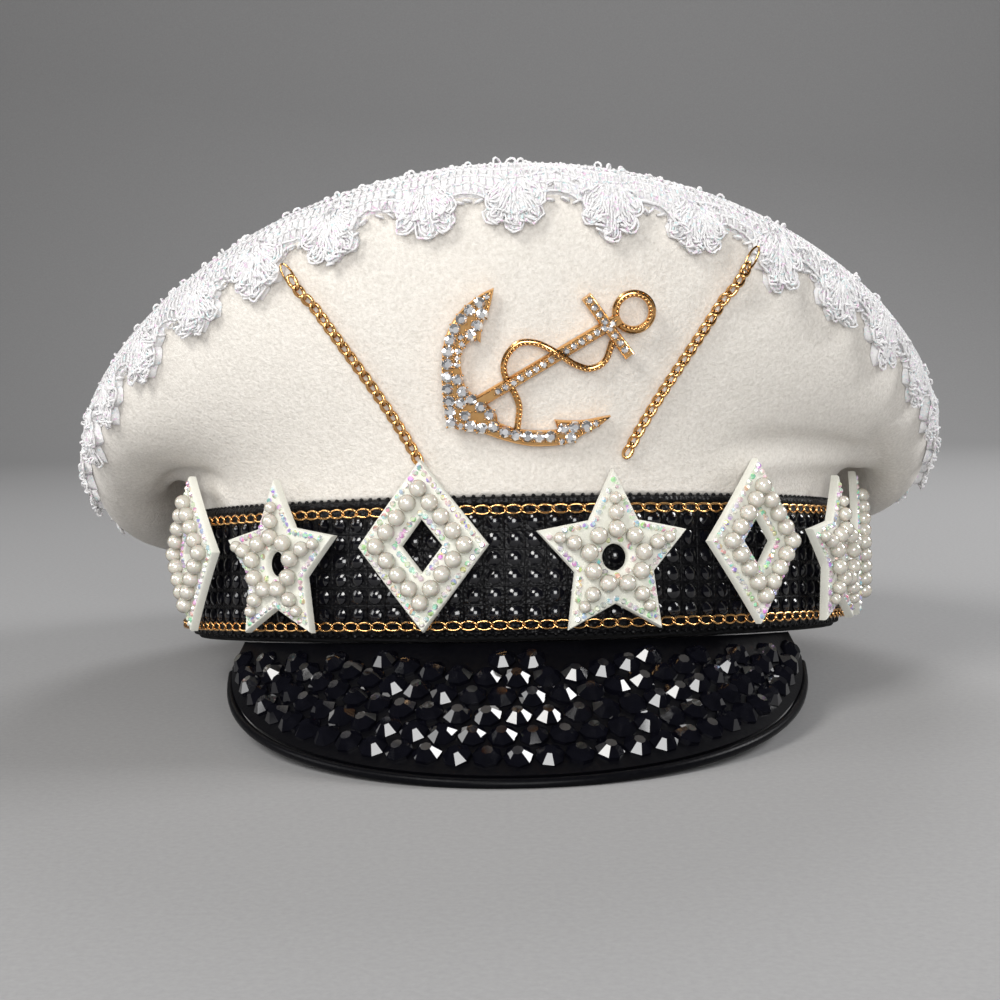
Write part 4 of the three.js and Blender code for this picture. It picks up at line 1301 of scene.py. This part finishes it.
# How far down a five-pointed star of radius 1 reaches, and the height of its middle once it fills
# the square from -1 to 1.
STAR_FOOT = math.cos(math.radians(36))
STAR_MIDDLE = 2 / (1 + STAR_FOOT) * (STAR_FOOT - 1) / 2
STAR_STEPS = 6


def star_outline(waist):
    """A star that fills the square from -1 to 1."""
    turn = np.pi * np.arange(10) / 5
    radius = np.where(np.arange(10) % 2, waist, 1)
    tips = np.stack([radius * np.sin(turn), radius * np.cos(turn)], -1)
    tips = (tips + [0, (STAR_FOOT - 1) / 2]) * [1 / math.sin(math.radians(72)), 2 / (1 + STAR_FOOT)]
    return straight_sides(tips, STAR_STEPS)


def patch_loops(kind):
    """A patch's outer and inner outlines in millimetres from its middle."""
    half = np.array([kind["width"], kind["height"]]) / 2
    if kind is LOZENGE:
        outer = lozenge_outline()
        return outer * half, outer * half * kind["hole"]
    outer = star_outline(kind["waist"])
    middle = np.array([0, STAR_MIDDLE])
    way = unit(outer - middle)
    return outer * half, (middle + way * kind["hole"]) * half


def patch_pearls(kind, outer, hole):
    """Pearls of one patch as (x, y, diameter)."""
    if kind is LOZENGE:
        loop = (outer + hole) / 2
        length = np.linalg.norm(loop - np.roll(loop, 1, 0), axis=1).sum()
        return [(x, y, PEARL) for x, y in even_loop(loop, 2 * round(length / (2 * PEARL + 0.4)))]
    middle = hole.mean(0)
    ring = np.linalg.norm(hole - middle, axis=1).mean() + CRYSTAL * 0.5 + PEARL / 2 + 0.5
    count = round(2 * np.pi * ring / (PEARL + 0.3))
    pearls = [(*(middle + ring * np.array([np.sin(t), np.cos(t)])), PEARL)
              for t in 2 * np.pi * np.arange(count) / count]
    for tip in outer[::2 * STAR_STEPS]:
        reach = np.linalg.norm(tip - middle)
        way = (tip - middle) / reach
        for beyond, size in ARM_PEARLS:
            pearls.append((*(middle + way * (ring + beyond * PEARL)), size * PEARL))
    return pearls


def patches():
    """Felt patches, with pearls along their strokes and crystals along their edges."""
    for number, (degrees, kind) in enumerate(PATCHES, 1):
        centre = math.radians(degrees)
        pace = math.hypot((BAND_HALF_WIDTH + PATCH_BACK) * math.cos(centre),
                          (BAND_HALF_LENGTH + PATCH_BACK) * math.sin(centre))
        middle = PATCH_RISE + kind["height"] / 2

        def bent(flat, outside):
            flat = np.atleast_2d(flat)
            points = beside_band(centre + flat[:, 0] / pace, outside, 0.0)
            points[:, 2] = middle + flat[:, 1]
            return points

        def solid(points):
            return inside(outer, points) & ~inside(hole, points)

        def frame_on(x, y, outside):
            angle = np.array([centre + x / pace])
            out = band_normal(angle, outside)[0]
            up = np.array([0.0, 0, 1])
            return bent([x, y], outside)[0], np.cross(up, out), up, out

        outer, hole = patch_loops(kind)
        face = PATCH_BACK + PATCH_FELT
        soft = PATCH_SOFT_EDGE
        within, beyond = (loop - unit(loop - loop.mean(0)) * inset
                          for loop, inset in ((outer, soft), (hole, -soft)))
        rows = [bent(outer, PATCH_BACK), bent(outer, face - soft), bent(within, face),
                bent(beyond, face), bent(hole, face - soft), bent(hole, PATCH_BACK)]
        felt = Form().add(np.stack(rows), grid(len(rows), len(outer), close_rows=True, close_columns=True))
        felt.piece(f"patch_{number}_felt", CREAM_FELT, "felt_cream", [f"patch_{number}"], sharp=50)
        pearls = patch_pearls(kind, outer, hole)
        form = Form()
        for x, y, size in pearls:
            form.copies(*ball(size), [frame_on(x, y, face + 0.36 * size)])
        form.piece(f"patch_{number}_pearls", PEARL_COAT, "pearl")
        keep_off = [(x, y, size / 2 + CRYSTAL * 0.36) for x, y, size in pearls]
        edges = along_edges([outer, hole], 0.4 + CRYSTAL / 2, CRYSTAL + 0.02, solid, keep_off)
        form = Form()
        for x, y in edges:
            spot = tilted(frame_on(x, y, face), UNEVEN["crystal"])
            form.copies(*clear_stone(CRYSTAL, CRYSTAL_CUT), [spot])
        form.piece(f"patch_{number}_crystals", RAINBOW_CRYSTAL, "crystal", smooth=False)


crown_wall()
crown_top()
lace()
band()
stone_band()
band_chains()
front_chains()
visor()
visor_stones()
anchor()
patches()

# Room, light and camera.

# The photograph's view: where the camera stands from the hat's own origin, how many picture
# widths away its picture plane is, which pixel shows the hat's own forward direction, and roll.
CAMERA = {"back": 540, "height": 15.7, "focus": 1.845, "centre": (515, 575), "roll": 1.1}
PICTURE = 1000


# The sweep behind the hat: how far back the floor starts to rise, the bend's radius, its top.
SWEEP = {"back": 0.9, "radius": 0.5, "top": 2.2}


def room():
    """A plain pale floor that sweeps up into a backdrop."""
    half, steps = 3.0, 24
    bend = np.linspace(0, np.pi / 2, steps)
    back = SWEEP["back"] + SWEEP["radius"] * np.sin(bend)
    rise = SWEEP["radius"] * (1 - np.cos(bend))
    line = [(-half, 0.0), *zip(back, rise), (back[-1], SWEEP["top"])]
    points = [(x, y, z) for y, z in line for x in (-half, half)]
    mesh = bpy.data.meshes.new("floor")
    mesh.from_pydata(points, [], grid(len(line), 2))
    mesh.polygons.foreach_set("use_smooth", [True] * len(mesh.polygons))
    floor = show("floor", mesh)
    finish = Finish("floor_paper", {"Roughness": 0.9, "Specular IOR Level": 0.2})
    finish.color(finish.mix(finish.noise(1.5, 4.0, 0.7), (0.28, 0.28, 0.28), (0.38, 0.375, 0.38)))
    mesh.materials.append(finish.material)
    world = bpy.data.worlds.new("studio")
    world.use_nodes = True
    world.node_tree.nodes["Background"].inputs[0].default_value = (0.60, 0.62, 0.66, 1)
    world.node_tree.nodes["Background"].inputs[1].default_value = 0.05
    bpy.context.scene.world = world
    bpy.context.scene.view_settings.view_transform = "Standard"


def lamp(name, place, aim, size, power, color=(1, 1, 1)):
    """A soft square lamp that points at the hat."""
    data = bpy.data.lights.new(name, "AREA")
    data.size, data.energy, data.color = size, power, color
    thing = show(name, data)
    thing.location = place
    thing.rotation_euler = (Vector(aim) - Vector(place)).to_track_quat("-Z", "Y").to_euler()


def lights():
    """A key lamp at the front left, with softer ones round the hat and on the backdrop."""
    hat = (0, -0.02, 0.07)
    lamp("key", (-0.55, -0.85, 0.80), hat, 0.42, 8.5, (1, 0.985, 0.96))
    lamp("left", (-1.0, -0.15, 0.45), hat, 0.5, 3.5)
    lamp("front", (0.05, -1.15, 0.30), hat, 0.5, 8)
    lamp("right", (0.95, 0.10, 0.60), hat, 0.4, 8)
    lamp("behind", (0.15, 0.80, 0.85), hat, 0.4, 5)
    lamp("backdrop", (0.45, 0.35, 0.9), (0.15, 1.4, 0.5), 0.4, 1.5)


def camera():
    """The photograph's camera, worked out in the hat's own frame."""
    data = bpy.data.cameras.new("camera")
    data.sensor_width = 36
    data.lens = CAMERA["focus"] * data.sensor_width
    thing = show("camera", data)
    place = settle([0, -CAMERA["back"], CAMERA["height"]])
    reach = CAMERA["focus"] * PICTURE
    across, up = PICTURE / 2 - CAMERA["centre"][0], CAMERA["centre"][1] - PICTURE / 2
    cos, sin = math.cos(math.radians(CAMERA["roll"])), math.sin(math.radians(CAMERA["roll"]))
    ahead = unit(LEAN @ np.array([across * cos + up * sin, reach, up * cos - across * sin]))
    right = unit(np.cross(ahead, LEAN @ np.array([sin, 0, cos])))
    above = np.cross(right, ahead)
    turn = Matrix((right, above, -ahead)).transposed()
    thing.matrix_world = Matrix.Translation(Vector(place)) @ turn.to_4x4()
    bpy.context.scene.camera = thing


room()
lights()
camera()
